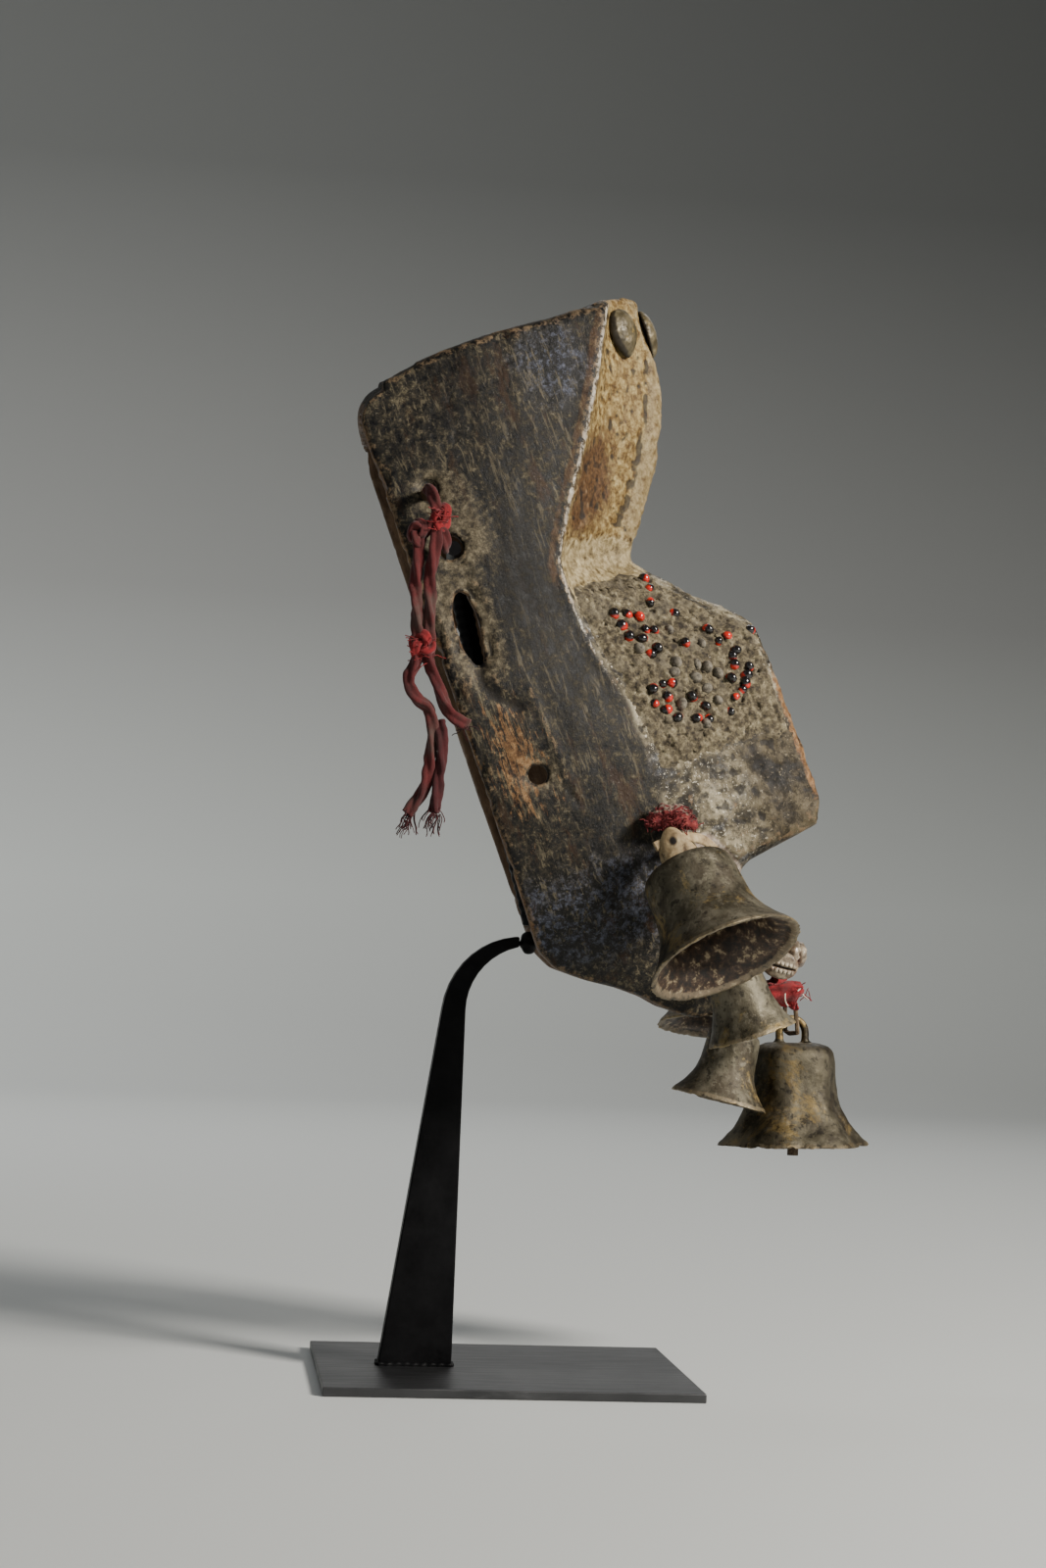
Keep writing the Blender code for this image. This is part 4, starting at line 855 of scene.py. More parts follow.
colour = wood.mix(wood.zone("brow"), colour, brow_colour)
crest_colour = wood.ramp(gritty, (0.36, (0.085, 0.050, 0.017)), (0.5, (0.215, 0.160, 0.076)),
                         (0.66, (0.36, 0.295, 0.170)))
colour = wood.mix(wood.patch(wood.zone("crest"), gritty, 0.44, 0.56, 0.6), colour, crest_colour)
hollow_colour = wood.ramp(gritty, (0.36, (0.070, 0.047, 0.019)), (0.48, (0.235, 0.180, 0.090)),
                          (0.64, (0.46, 0.38, 0.220)))
colour = wood.mix(wood.patch(wood.zone("hollow"), gritty, 0.40, 0.54, 0.6), colour, hollow_colour)
colour = wood.mix(wood.patch(wood.zone("chalk"), gritty, 0.64, 0.71, 0.6), colour,
                  wood.ramp(fine_grain, (0.3, (0.30, 0.27, 0.22)), (0.65, (0.60, 0.57, 0.50))))
bare = wood.ramp(gritty, (0.36, (0.060, 0.027, 0.010)), (0.5, (0.190, 0.098, 0.040)),
                 (0.66, (0.38, 0.235, 0.115)))
colour = wood.mix(wood.patch(wood.zone("worn"), wood.noise(120, 6, 0.75), 0.58, 0.66, 0.62), colour, bare)
streaks = wood.noise(260, 5, 0.75, stretch=(2.4, 2.4, 0.30), distortion=0.6)
scratches = wood.patch(wood.zone("scratched"), streaks, 0.53, 0.57, 0.8)
colour = wood.mix(wood.maths("MULTIPLY", scratches, 0.85), colour, bare)
rubbed = wood.maths("ADD", wood.maths("MULTIPLY", wood.zone("edge"), 0.62),
                    wood.maths("MULTIPLY", gritty, 0.6))
edges = wood.ramp(rubbed, (0.90, 0.0), (0.97, 0.7))
colour = wood.mix(wood.maths("MULTIPLY", edges, 0.8), colour, (0.24, 0.16, 0.09))
# painted shade: the carving's concave dips are darkened to near black, less so in the eye's hollow
dips = wood.maths("MULTIPLY", wood.ramp(wood.zone("edge"), (0.14, 0.80), (0.34, 0.0)),
                  wood.ramp(wood.zone("hollow"), (0.05, 1.0), (0.35, 0.12)))
colour = wood.mix(dips, colour, (0.012, 0.010, 0.008))
lip_colour = wood.ramp(fine_grain, (0.32, (0.16, 0.11, 0.085)), (0.52, (0.36, 0.29, 0.23)),
                       (0.7, (0.55, 0.50, 0.43)))
colour = wood.mix(wood.patch(wood.zone("lips"), middle_grain, 0.46, 0.60), colour, lip_colour)
raw = wood.ramp(fibre, (0.28, (0.050, 0.028, 0.014)), (0.5, (0.105, 0.062, 0.034)),
                (0.75, (0.20, 0.125, 0.070)))
colour = wood.mix(wood.zone("raw"), colour, raw)
roughness = wood.ramp(gritty, (0.36, 0.33), (0.62, 0.72))
height = wood.mix(0.55, wood.mix(0.3, middle_grain, fibre), wood.mix(0.45, gritty, gritty_fine))
wood.shader.inputs["Specular IOR Level"].default_value = 0.22
WOOD = wood.done(colour, roughness, height, strength=0.75, depth=0.0016)
add_piece("mask_carving", mask_mesh, WOOD, ["mask"])
print("mask carved:", len(mask_mesh.polygons), "faces")

# %% [markdown]
# Mud was pressed over both cheeks and rings of hard red seeds with black eyes were pushed into
# it while it was wet. The mud is a thick uneven skin that thins out to nothing at its border,
# laid on the carved wood; a few seeds fell out and left pits.

# %% Mud on the cheeks
# rear and front border of the mud at each height
MUD_BORDER = {-103: (64, 94), -112: (63.5, 105), -122: (63.5, 114), -133: (64.5, 126), -142: (66.5, 137),
              -148: (68.5, 140), -160: (70.5, 141), -175: (72.5, 141), -190: (74, 140), -205: (76, 138)}


def mud_mesh(side, seed):
    """A fine grid over one cheek, dropped on the carving and raised into mud."""
    carving = BVHTree.FromPolygons([tuple(v) for v in mask_local.tolist()], mask_faces)
    ups = np.linspace(-100.5, -203, 165)
    levels = sorted(MUD_BORDER)
    rows = []
    for u in ups:
        back = np.interp(u, levels, [MUD_BORDER[k][0] for k in levels])
        front = np.interp(u, levels, [MUD_BORDER[k][1] for k in levels])
        rows.append([(back + (front - back) * t, u) for t in np.linspace(-0.02, 1.0, 110)])
    verts, faces, inside = [], [], []
    count = len(rows[0])
    for i, row in enumerate(rows):
        for j, (w, u) in enumerate(row):
            hit, normal, _, _ = carving.ray_cast(Vector((w, side * 90, u)), Vector((0, -side, 0)))
            if hit is None:
                hit, normal, _, _ = carving.find_nearest(Vector((w, side * 30, u)))
            border = min(j / (count - 1) / 0.10, (1 - j / (count - 1)) / 0.05, i / (len(rows) - 1) / 0.08,
                         (1 - i / (len(rows) - 1)) / 0.16)
            p = Vector((w, side * 5 + seed, u))
            wild = 0.5 + 0.5 * noise.fractal(p * 0.09, 0.7, 2.0, 2)
            share = min(1.0, max(0.0, border - 0.5 * wild))
            share = share * share * (3 - 2 * share)
            lumps = noise.fractal(p * 0.32, 0.8, 2.1, 3)
            crumbs = noise.fractal(p * 0.9, 0.8, 2.1, 2)
            holes = max(0.0, noise.noise(p * 0.45 + Vector((9, 3, 1))) - 0.42) * 5.0
            lift = (1.5 + 1.15 * lumps + 0.75 * crumbs - 1.4 * min(1.0, holes)) * share - 0.45 * (1 - share)
            verts.append(hit + normal * lift)
            inside.append(share)
    for i in range(len(rows) - 1):
        for j in range(count - 1):
            a = i * count + j
            quad = (a, a + 1, a + count + 1, a + count)
            faces.append(quad if side < 0 else quad[::-1])
    return verts, faces, inside


mask_local = in_mask(places_of(mask_mesh))
mask_faces = [tuple(p.vertices) for p in mask_mesh.polygons]
mud = Finish("dried_mud", roughness=0.92, turned=True)
lump = mud.noise(70, 5, 0.65)
crumb = mud.noise(260, 5, 0.7)
speckle = mud.noise(620, 3, 0.75)
mud_colour = mud.ramp(crumb, (0.36, (0.018, 0.013, 0.007)), (0.47, (0.078, 0.061, 0.034)),
                      (0.57, (0.165, 0.136, 0.080)), (0.70, (0.31, 0.270, 0.175)))
mud_colour = mud.lay(lump, 0.50, 0.62, 0.55, mud_colour, (0.115, 0.098, 0.068))
mud_colour = mud.lay(speckle, 0.56, 0.64, 0.8, mud_colour, (0.024, 0.018, 0.012))
MUD = mud.done(mud_colour, height=mud.mix(0.5, crumb, speckle), strength=0.9, depth=0.0012)
mud_trees = {}
for node, side in (("seed_crust_near", -1), ("seed_crust_far", 1)):
    verts, faces, inside = mud_mesh(side, 0.0 if side < 0 else 40.0)
    mud_trees[side] = BVHTree.FromPolygons(verts, faces)
    mesh = bpy.data.meshes.new(node)
    mesh.from_pydata([tuple(MASK_FRAME @ (v * MM)) for v in verts], [], faces)
    mesh.update()
    add_piece("mud_" + node[11:], mesh, MUD, [node])
    print(node, len(faces), "faces")

# %% [markdown]
# The seeds are all alike, so one small seed is made and a Geometry Nodes tree sets it on every
# place of the list, with its eye turned a random way. The material reads the eye from a value
# kept on the seed's own vertices.

# %% Places of the seeds, forward and up in millimetres
SEEDS = [(78.9, -122.2), (85.1, -123.8), (89.8, -126.5), (80.4, -128.4), (82.0, -134.0), (90.6, -133.0),
         (94.2, -134.3), (87.3, -136.4), (92.5, -142.6), (88.6, -144.3), (99.9, -108.8), (99.9, -114.2),
         (97.4, -121.3), (106.3, -129.3), (114.4, -116.4), (105.8, -143.8), (118.1, -140.7),
         (120.7, -147.3), (125.6, -146.3), (136.5, -141.8), (137.2, -146.4), (127.2, -153.4),
         (124.5, -155.5), (123.9, -159.5), (130.3, -162.3), (127.9, -165.8), (126.4, -168.6),
         (123.8, -171.6), (120.4, -165.0), (119.1, -173.5), (114.6, -179.1), (84.0, -159.2),
         (88.9, -158.7), (93.4, -159.6), (82.7, -165.6), (89.1, -164.7), (86.8, -170.0), (100.1, -167.5),
         (104.6, -173.4), (90.3, -174.7), (98.9, -177.2), (104.4, -179.3)]
GREY_SEEDS = [(98.5, -150.9), (107.2, -154.7), (111.7, -157.0), (104.7, -160.1), (94.5, -169.5),
              (111.2, -172.6), (102.4, -180.9), (96.0, -155.0), (115.5, -161.0), (108.0, -166.0),
              (84.5, -140.5), (101.0, -136.0), (113.0, -146.0)]


def seed_shape():
    """A plump seed 5.8 mm long, with its eye at one end."""
    mesh = bpy.data.meshes.new("seed")
    bm = bmesh.new()
    bmesh.ops.create_uvsphere(bm, u_segments=12, v_segments=9, radius=0.0026)
    for v in bm.verts:
        v.co.y *= 0.86
        v.co.x *= 1.12
    bm.to_mesh(mesh)
    eye = mesh.attributes.new("eye", "FLOAT", "POINT")
    dark = [max(0.0, min(1.0, (v.co.x / 0.0029 + 0.28) * 5.0)) for v in mesh.vertices]
    eye.data.foreach_set("value", dark)
    bm.free()
    mesh.shade_smooth()
    seed = bpy.data.objects.new("seed", mesh)
    bpy.context.scene.collection.objects.link(seed)
    return seed


def seed_tree(seed, finish, name):
    """The seed on every point, its eye's end turned a random way round the mud's normal."""
    tree, given = new_tree(name, Smallest=0.78, Largest=1.05)
    shape = add_node(tree, "GeometryNodeObjectInfo", {"Object": seed})
    way = add_node(tree, "GeometryNodeInputNamedAttribute", {"Name": "way"}, data_type="FLOAT_VECTOR")
    stand = add_node(tree, "FunctionNodeAlignRotationToVector", {"Vector": way}, axis="Z")
    roll = add_node(tree, "FunctionNodeRandomValue",
                    {0: (-0.5, -0.9, 0.0), 1: (0.5, 0.3, 6.28), "Seed": 11}, data_type="FLOAT_VECTOR")
    to_turn = add_node(tree, "FunctionNodeEulerToRotation", {0: roll})
    spin = add_node(tree, "FunctionNodeRotateRotation", {"Rotation": stand, "Rotate By": to_turn},
                    rotation_space="LOCAL")
    size = add_node(tree, "FunctionNodeRandomValue",
                    {2: given["Smallest"], 3: given["Largest"], "Seed": 3})
    place = add_node(tree, "GeometryNodeInstanceOnPoints",
                     {"Points": given["Geometry"], "Instance": shape.outputs["Geometry"],
                      "Rotation": spin, "Scale": size.outputs[1]})
    painted(tree, place, finish)
    return tree


red_seed = Finish("red_seed", roughness=0.22)
blotch = red_seed.noise(700, 3, 0.6)
seed_red = red_seed.ramp(blotch, (0.35, (0.36, 0.010, 0.004)), (0.6, (0.72, 0.022, 0.008)))
red_seed.shader.inputs["Coat Weight"].default_value = 0.5
SEED_RED = red_seed.done(red_seed.mix(red_seed.zone("eye"), seed_red, (0.006, 0.005, 0.005)))
muddy = Finish("muddy_seed", roughness=0.8)
muddy_colour = muddy.ramp(muddy.noise(500, 4, 0.7), (0.35, (0.045, 0.038, 0.028)),
                          (0.62, (0.20, 0.175, 0.13)))
SEED_MUDDY = muddy.done(muddy_colour, height=muddy.noise(900, 3, 0.7), strength=0.6)
SEED = seed_shape()
SEED_KINDS = (("red", SEEDS, SEED_RED, 0.2), ("muddy", GREY_SEEDS, SEED_MUDDY, -0.1))
for side, label in ((-1, "near"), (1, "far")):
    for kind, places, finish, height in SEED_KINDS:
        points, ways = [], []
        for w, u in places:
            start, inward = Vector((w, side * 90, u)), Vector((0, -side, 0))
            hit, normal, _, _ = mud_trees[side].ray_cast(start, inward)
            if hit is None:
                continue
            if normal.y * side < 0:
                normal = -normal
            points.append(MASK_FRAME @ ((hit + normal * height) * MM))
            ways.append(MASK_FRAME.to_3x3() @ normal)
        mesh = grown(points, seed_tree(SEED, finish, "seeds_" + kind + "_" + label), normals=ways)
        add_piece("seeds_" + kind + "_" + label, mesh, finish)
        print(len(points), kind, "seeds on the", label, "cheek")
bpy.data.objects.remove(SEED, do_unlink=True)

# %% [markdown]
# The bells were cast one at a time from wax, so no two are alike: the wall wanders, the crown is
# flat with a bar loop on it, and the lip is thick and chipped. Each is a lathe form and a bent
# bar joined under one voxel skin, which rounds their meeting as casting does.

# %% Bells
# rim, crown and height, middle of the mouth, axis, turn of the loop, roughness, lobes, seed
BELLS = {
    "bell_near_cheek": (68, 40, 47, (76, -103, 191), (0.33, -0.45, -0.83), -20, 0.35, 0.0, 1.0),
    "bell_near_jaw": (40, 24, 38, (98.5, -55, 158), (0.33, -0.02, -0.93), 80, 0.5, 0.0, 2.0),
    "bell_low_jaw": (44, 24, 33, (93, -13, 126.5), (-0.22, -0.03, -0.97), 80, 0.45, 0.0, 3.0),
    "bell_chin": (67, 38, 47, (132.6, 7, 106), (0.03, -0.03, -1.0), 15, 0.6, 0.045, 4.0),
    "bell_far_cheek": (50, 28, 36, (98, 38, 158), (-0.05, -0.24, -0.97), 80, 0.45, 0.0, 5.0),
}
BELL_WALL = 2.4


def turn_to(axis, roll_degrees):
    """Rotation whose Z axis is the given one, turned about it."""
    z = Vector(axis).normalized()
    x = Vector((0, 1, 0)) if abs(z.x) > 0.95 else Vector((1, 0, 0))
    y = z.cross(x).normalized()
    turned = Matrix((y.cross(z), y, z)).transposed()
    return (turned @ Matrix.Rotation(math.radians(roll_degrees), 3, "Z")).to_4x4()


def bell_profile(rim, crown, height):
    """The solid's outer half profile, in millimetres, from the crown's middle to the rim."""
    a, r, h = crown / 2, rim / 2, height
    waist = a * 1.12
    return [(0.0, h), (a * 0.62, h), (a * 0.88, h - 0.04 * h), (a, h - 0.12 * h), (a * 1.04, 0.62 * h),
            (waist, 0.40 * h), (waist + (r - waist) * 0.38, 0.20 * h),
            (waist + (r - waist) * 0.78, 0.07 * h), (r, 0.0)]


def bell_form(rim, crown, height, loop_turn, lobes):
    outer = bell_profile(rim, crown, height)
    inner = [(max(0.0, x - BELL_WALL), z - BELL_WALL * 1.4) for x, z in outer[:-2]]
    inner[0] = (0.0, outer[0][1] - BELL_WALL * 1.6)
    last_x, last_z = outer[-2]
    fine = [outer[0]]
    smooth_out = spread([Vector((x, 0, z)) for x, z in outer[1:]], 26)[0]
    fine += [(p.x, p.z) for p in smooth_out]
    lip = [(outer[-1][0] - BELL_WALL, 0.0), (last_x - BELL_WALL, last_z - BELL_WALL * 0.2)]
    back = spread([Vector((x, 0, z)) for x, z in [lip[1]] + inner[::-1][:-1]], 22)[0]
    fine += [lip[0]] + [(p.x, p.z) for p in back] + [inner[0]]
    bm = bmesh.new()
    around = 96
    rings = []
    for x, z in fine:
        if x < 0.01:
            rings.append([bm.verts.new((0, 0, z * MM))])
            continue
        low = max(0.0, 1 - z / (height * 0.9))
        ring = []
        for a in (2 * math.pi * j / around for j in range(around)):
            wide = x * MM * (1 + lobes * (0.35 + low) * math.cos(6 * a))
            ring.append(bm.verts.new((wide * math.cos(a), wide * math.sin(a), z * MM)))
        rings.append(ring)
    for low, high in zip(rings, rings[1:]):
        for j in range(around):
            n = (j + 1) % around
            quad = [low[j % len(low)], low[n % len(low)], high[n % len(high)], high[j % len(high)]]
            quad = list(dict.fromkeys(quad))
            if len(quad) > 2:
                bm.faces.new(quad)
    radius = 3.4 + 0.085 * crown
    leg = radius * 0.9
    bar = 1.9                   # half the thickness of the loop's bar
    turn = Matrix.Rotation(math.radians(loop_turn), 3, "Z")
    centres = [Vector((radius, 0, -0.8)), Vector((radius, 0, 0))]
    centres += [Vector((radius * math.cos(a), 0, leg + radius * math.sin(a)))
                for a in (math.pi * k / 14 for k in range(15))]
    centres += [Vector((-radius, 0, 0)), Vector((-radius, 0, -0.8))]
    loops = []
    for k, c in enumerate(centres):
        along = (centres[min(len(centres) - 1, k + 1)] - centres[max(0, k - 1)]).normalized()
        out_way = Vector((0, 1, 0)).cross(along)
        ring = []
        for t in (2 * math.pi * j / 14 for j in range(14)):
            p = c + Vector((0, 1, 0)) * bar * math.cos(t) + out_way * bar * math.sin(t)
            ring.append(bm.verts.new((turn @ p + Vector((0, 0, height - 1.2))) * MM))
        loops.append(ring)
    join_rings(bm, loops)
    bm.faces.new(loops[0])
    bm.faces.new(loops[-1])
    return skinned(mesh_of(bm, "bell"), 0.0009, soften=2)


bronze = Finish("cast_bell_bronze", roughness=0.5, metallic=0.6)
patina = bronze.noise(55, 5, 0.62)
pocks = bronze.noise(240, 5, 0.7)
runs = bronze.noise(95, 4, 0.65, stretch=(1, 1, 0.35), distortion=0.3)
bell_colour = bronze.ramp(patina, (0.30, (0.030, 0.025, 0.016)), (0.46, (0.095, 0.083, 0.054)),
                          (0.62, (0.200, 0.180, 0.128)), (0.80, (0.29, 0.265, 0.20)))
bell_colour = bronze.lay(runs, 0.48, 0.62, 0.75, bell_colour, (0.040, 0.028, 0.014))
gold = bronze.patch(bronze.zone("edge"), pocks, 0.52, 0.62, 0.5)
bell_colour = bronze.mix(bronze.maths("MULTIPLY", gold, 0.85), bell_colour, (0.42, 0.30, 0.115))
bell_colour = bronze.lay(bronze.noise(44, 6, 0.78, distortion=0.6), 0.54, 0.62, 0.7, bell_colour,
                         (0.34, 0.245, 0.095))
inside_colour = bronze.ramp(pocks, (0.40, (0.010, 0.006, 0.004)), (0.52, (0.050, 0.027, 0.014)),
                            (0.58, (0.105, 0.065, 0.036)), (0.64, (0.42, 0.30, 0.14)),
                            (0.74, (0.60, 0.50, 0.30)))
bell_colour = bronze.mix(bronze.zone("inside"), bell_colour, inside_colour)
crumbs_at_lip = bronze.patch(bronze.zone("lip"), pocks, 0.46, 0.58, 0.55)
bell_colour = bronze.mix(bronze.maths("MULTIPLY", crumbs_at_lip, 0.45), bell_colour, (0.30, 0.24, 0.15))
bell_colour = bronze.lay(pocks, 0.56, 0.63, 0.5, bell_colour, (0.25, 0.225, 0.165))
bell_colour = bronze.mix(bronze.ramp(pocks, (0.38, 0.7), (0.45, 0.0)), bell_colour, (0.014, 0.011, 0.007))
bell_colour = bronze.mix(bronze.zone("dull"), bell_colour, (0.56, 0.54, 0.50), "MULTIPLY")
bell_rough = bronze.ramp(patina, (0.3, 0.42), (0.7, 0.72))
bell_metal = bronze.mix(bronze.zone("inside"), bronze.ramp(runs, (0.4, 0.75), (0.7, 0.35)),
                        (0.05, 0.05, 0.05))
BRONZE = bronze.done(bell_colour, bell_rough, bronze.mix(0.5, patina, pocks), strength=0.75, depth=0.0011,
                     metallic=bell_metal)
for bell, (rim, crown, height, mouth, axis, loop_turn, rough_cast, lobes, seed) in BELLS.items():
    mesh = bell_form(rim, crown, height, loop_turn, lobes)
    xyz, out, pairs = places_of(mesh), normals_of(mesh), edges_of(mesh)
    mm = xyz * 1000
    cast = grain(mm, 1 / 14, 2, seed * 9) * 0.9 + grain(mm, 1 / 4.5, 3, seed * 5) * 0.35
    lip = ramp_up(-mm[:, 2], -3.2, -0.4)
    nibble = ramp_up(grain(mm, 1 / 5, 2, seed * 3), 0.1, 0.6) * lip
    radial = mm[:, :2] / np.maximum(np.linalg.norm(mm[:, :2], axis=1), 0.01)[:, None]
    facing = np.einsum("ij,ij->i", out[:, :2], radial)
    in_cup = (mm[:, 2] < height - 3.0) & ((facing < -0.12) | ((out[:, 2] < -0.5) & (mm[:, 2] > 4)))
    move_to(mesh, xyz + out * (cast * rough_cast * 0.75)[:, None] * MM
            + np.array([0, 0, 1.0]) * (nibble * 1.3 * rough_cast)[:, None] * MM)
    xyz, out = places_of(mesh), normals_of(mesh)
    edge = averaged(bulges(xyz, out, pairs), pairs, 2)
    store(mesh, "edge", edge / 0.00012)
    store(mesh, "inside", averaged(in_cup.astype(float), pairs, 2))
    store(mesh, "lip", lip)
    store(mesh, "dull", np.full(len(lip), 1.0 if bell == "bell_chin" else 0.15))
    up_way = -Vector(axis).normalized()
    mesh.transform(Matrix.Translation(Vector(mouth) * MM) @ turn_to(up_way, 0))
    add_piece(bell + "_cast", mesh, BRONZE, [bell])
    print(bell, len(mesh.polygons), "faces")
rust = Finish("clapper_rust", roughness=0.8, metallic=0.3)
rust_colour = rust.ramp(rust.noise(400, 4, 0.7), (0.35, (0.035, 0.022, 0.014)),
                        (0.65, (0.13, 0.085, 0.05)))
repaint("bell_chin_clapper", rust.done(rust_colour, height=rust.noise(800, 3, 0.7)))

# %% [markdown]
# Three drop-shaped bosses sit in a row on the brow. They were rubbed bright on their crowns, so
# the brass shows there through an olive skin, and the gap round each is painted near black as shade.

# %% Studs of the brow
boss = Finish("stud_brass", roughness=0.42, metallic=0.35)
boss_skin = boss.noise(160, 5, 0.62)
boss_fine = boss.noise(600, 4, 0.7)
boss_colour = boss.ramp(boss_skin, (0.30, (0.030, 0.024, 0.012)), (0.48, (0.085, 0.068, 0.035)),
                        (0.62, (0.150, 0.122, 0.068)), (0.76, (0.30, 0.25, 0.145)))
boss_colour = boss.lay(boss.noise(90, 4, 0.7, distortion=0.5), 0.56, 0.63, 0.85, boss_colour,
                       (0.38, 0.235, 0.035))
# painted shade: the foot of each stud, in the gap against the wood, is darkened to near black
boss_colour = boss.mix(boss.ramp(boss.zone("crown"), (0.0, 0.9), (0.22, 0.0)), boss_colour,
                       (0.016, 0.012, 0.008))
BOSS = boss.done(boss_colour, boss.ramp(boss_fine, (0.35, 0.28), (0.65, 0.58)),
                 boss.mix(0.5, boss_skin, boss_fine), strength=0.5, depth=0.0005)
for k, node in enumerate(("brow_stud_near", "brow_stud_middle", "brow_stud_far")):
    mesh = even_skin([node], 0.00045, soften=8)
    xyz, out = places_of(mesh), normals_of(mesh)
    mm = xyz * 1000
    face = (out @ TO_MASK[:3, :3].T)[:, 0]
    dents = 0.22 * grain(mm, 1 / 5, 2, 60.0 + k) + 0.09 * grain(mm, 1 / 1.6, 2, 70.0 + k)
    move_to(mesh, xyz + out * dents[:, None] * MM)
    store(mesh, "crown", ramp_up(face, 0.05, 0.75))
    add_piece(node + "_boss", mesh, BOSS, [node])
    print(node, len(mesh.polygons), "faces")

# %% [markdown]
# Each cowrie is an egg with a flattened mouth. Two lips curl in to a narrow slit, and grooves
# across the lips leave a row of teeth. The slit and the grooves are painted near black as shade.

# %% Cowries
COWRIE_SIZE = (17.5, 12.5, 9.5)
COWRIES = {                     # place and turns in the mask's frame
    "cowrie_near": ((100.5, -22.5, -292.5), (-75, 32, 0)),
    "cowrie_middle": ((110.5, -1.5, -290.5), (-60, 0, 92)),
    "cowrie_far": ((115, 17.5, -293), (-70, 0, 100)),
}


def cowrie_mesh(seed):
    along, around = 90, 120
    verts, faces, slit_shade, tooth = [], [], [], []
    for i in range(along + 1):
        a = math.pi * i / along
        for j in range(around):
            b = 2 * math.pi * j / around
            x, y, z = -0.5 * math.cos(a), 0.5 * math.sin(a) * math.cos(b), 0.5 * math.sin(a) * math.sin(b)
            egg = 1 + 0.22 * x
            y, z = y * egg, z * egg
            under = 1.0 if z < 0 else 0.0
            if z < -0.20:
                z = -0.20 + (z + 0.20) * 0.30
            window = max(0.0, 1 - (abs(x) / 0.44) ** 6) * under
            bend = 0.03 * math.sin(3.0 * x + 0.6)
            slit = math.exp(-((y - bend) / 0.040) ** 2) * window
            lip = math.exp(-((abs(y - bend) - 0.135) / 0.070) ** 2) * window
            groove = max(0.0, math.sin(2 * math.pi * (x * 9 + seed))) ** 2
            z += 0.20 * slit - 0.055 * lip + 0.050 * lip * groove
            p = Vector((x * COWRIE_SIZE[0], y * COWRIE_SIZE[1], z * COWRIE_SIZE[2]))
            p *= 1 + 0.02 * noise.fractal(p * 0.35 + Vector((seed * 5, 0, 0)), 0.7, 2.0, 2)
            verts.append(p * MM)
            # painted shade in the slit and in the grooves between the teeth
            slit_shade.append(min(1.0, slit + lip * groove * 0.75))
            tooth.append(lip * (1 - groove))
    for i in range(along):
        for j in range(around):
            n = (j + 1) % around
            faces.append((i * around + j, i * around + n, (i + 1) * around + n, (i + 1) * around + j))
    bm = bmesh.new()
    mark = bm.verts.layers.float.new("slit_shade")
    white = bm.verts.layers.float.new("tooth")
    rows = [bm.verts.new(p) for p in verts]
    for v, d, t in zip(rows, slit_shade, tooth):
        v[mark], v[white] = d, t
    for quad in faces:
        bm.faces.new([rows[k] for k in quad])
    bmesh.ops.remove_doubles(bm, verts=bm.verts, dist=0.000003)
    return mesh_of(bm, "cowrie")


shell = Finish("cowrie_shell_worn", roughness=0.38)
shell_spots = shell.noise(330, 4, 0.65)
shell_colour = shell.ramp(shell_spots, (0.32, (0.060, 0.042, 0.028)), (0.50, (0.190, 0.150, 0.105)),
                          (0.68, (0.42, 0.35, 0.25)))
shell_colour = shell.mix(shell.zone("tooth"), shell_colour, (0.62, 0.54, 0.40))
shell_colour = shell.lay(shell.noise(120, 5, 0.7), 0.50, 0.60, 0.8, shell_colour, (0.115, 0.060, 0.030))
# painted shade: the slit and the grooves are darkened to near black
shell_colour = shell.lay(shell.zone("slit_shade"), 0.25, 0.70, 0.95, shell_colour, (0.030, 0.018, 0.012))
shell.shader.inputs["Coat Weight"].default_value = 0.2
SHELL = shell.done(shell_colour, shell.ramp(shell_spots, (0.3, 0.30), (0.7, 0.55)), shell_spots,
                   strength=0.25, depth=0.0003)
for k, (node, (at, turns)) in enumerate(COWRIES.items()):
    mesh = cowrie_mesh(0.17 + 0.31 * k)
    turned = Euler([math.radians(a) for a in turns]).to_matrix().to_4x4()
    mesh.transform(MASK_FRAME @ Matrix.Translation(Vector(at) * MM) @ turned)
    add_piece(node + "_shell", mesh, SHELL, [node])
    print(node, len(mesh.polygons), "faces at",
          [round(v, 3) for v in sum((v.co for v in mesh.vertices), Vector()) / len(mesh.vertices)])

# %% [markdown]
# Under the cowries a wad of the same red cloth is bound to the chin. It is folded over itself,
# torn along its lower edge, and a few pale threads of its weave hang loose.

# %% Cloth at the chin
wad = even_skin(["chin_cloth"], 0.00075, soften=6)
xyz, out = places_of(wad), normals_of(wad)
local = in_mask(xyz)
fold = np.sin(local[:, 2] * 1.05 + local[:, 1] * 0.16 + 2.6 * grain(local, 1 / 13, 2, 81.0))
folds = 0.75 * np.sign(fold) * np.abs(fold) ** 0.6 - 0.55
torn = ramp_up(-local[:, 2], 306, 313) * ramp_up(grain(local, 1 / 4, 2, 83.0), -0.1, 0.5)
lift = folds + 0.45 * grain(local, 1 / 3.5, 3, 85.0) - 1.5 * torn
narrow = ramp_up(-local[:, 2], 300, 314)
middle_of = np.array([103.0, -1.0])
squeeze = np.stack([(middle_of[0] - local[:, 0]) * 0.60 * narrow - 1.8,
                    (middle_of[1] - local[:, 1]) * 0.60 * narrow,
                    -0.6 * narrow], axis=1) @ FROM_MASK.T
move_to(wad, xyz + out * np.clip(lift, -2.6, 0.6)[:, None] * MM + squeeze * MM)
CHIN_RAG = rag_finish("chin_rag", (0.205, 0.007, 0.010), (0.09, 0.03, 0.026), 0.1)
chin_wad = add_piece("chin_cloth_wad", wad, CHIN_RAG, ["chin_cloth"])
thread = Finish("pale_thread", roughness=0.9)
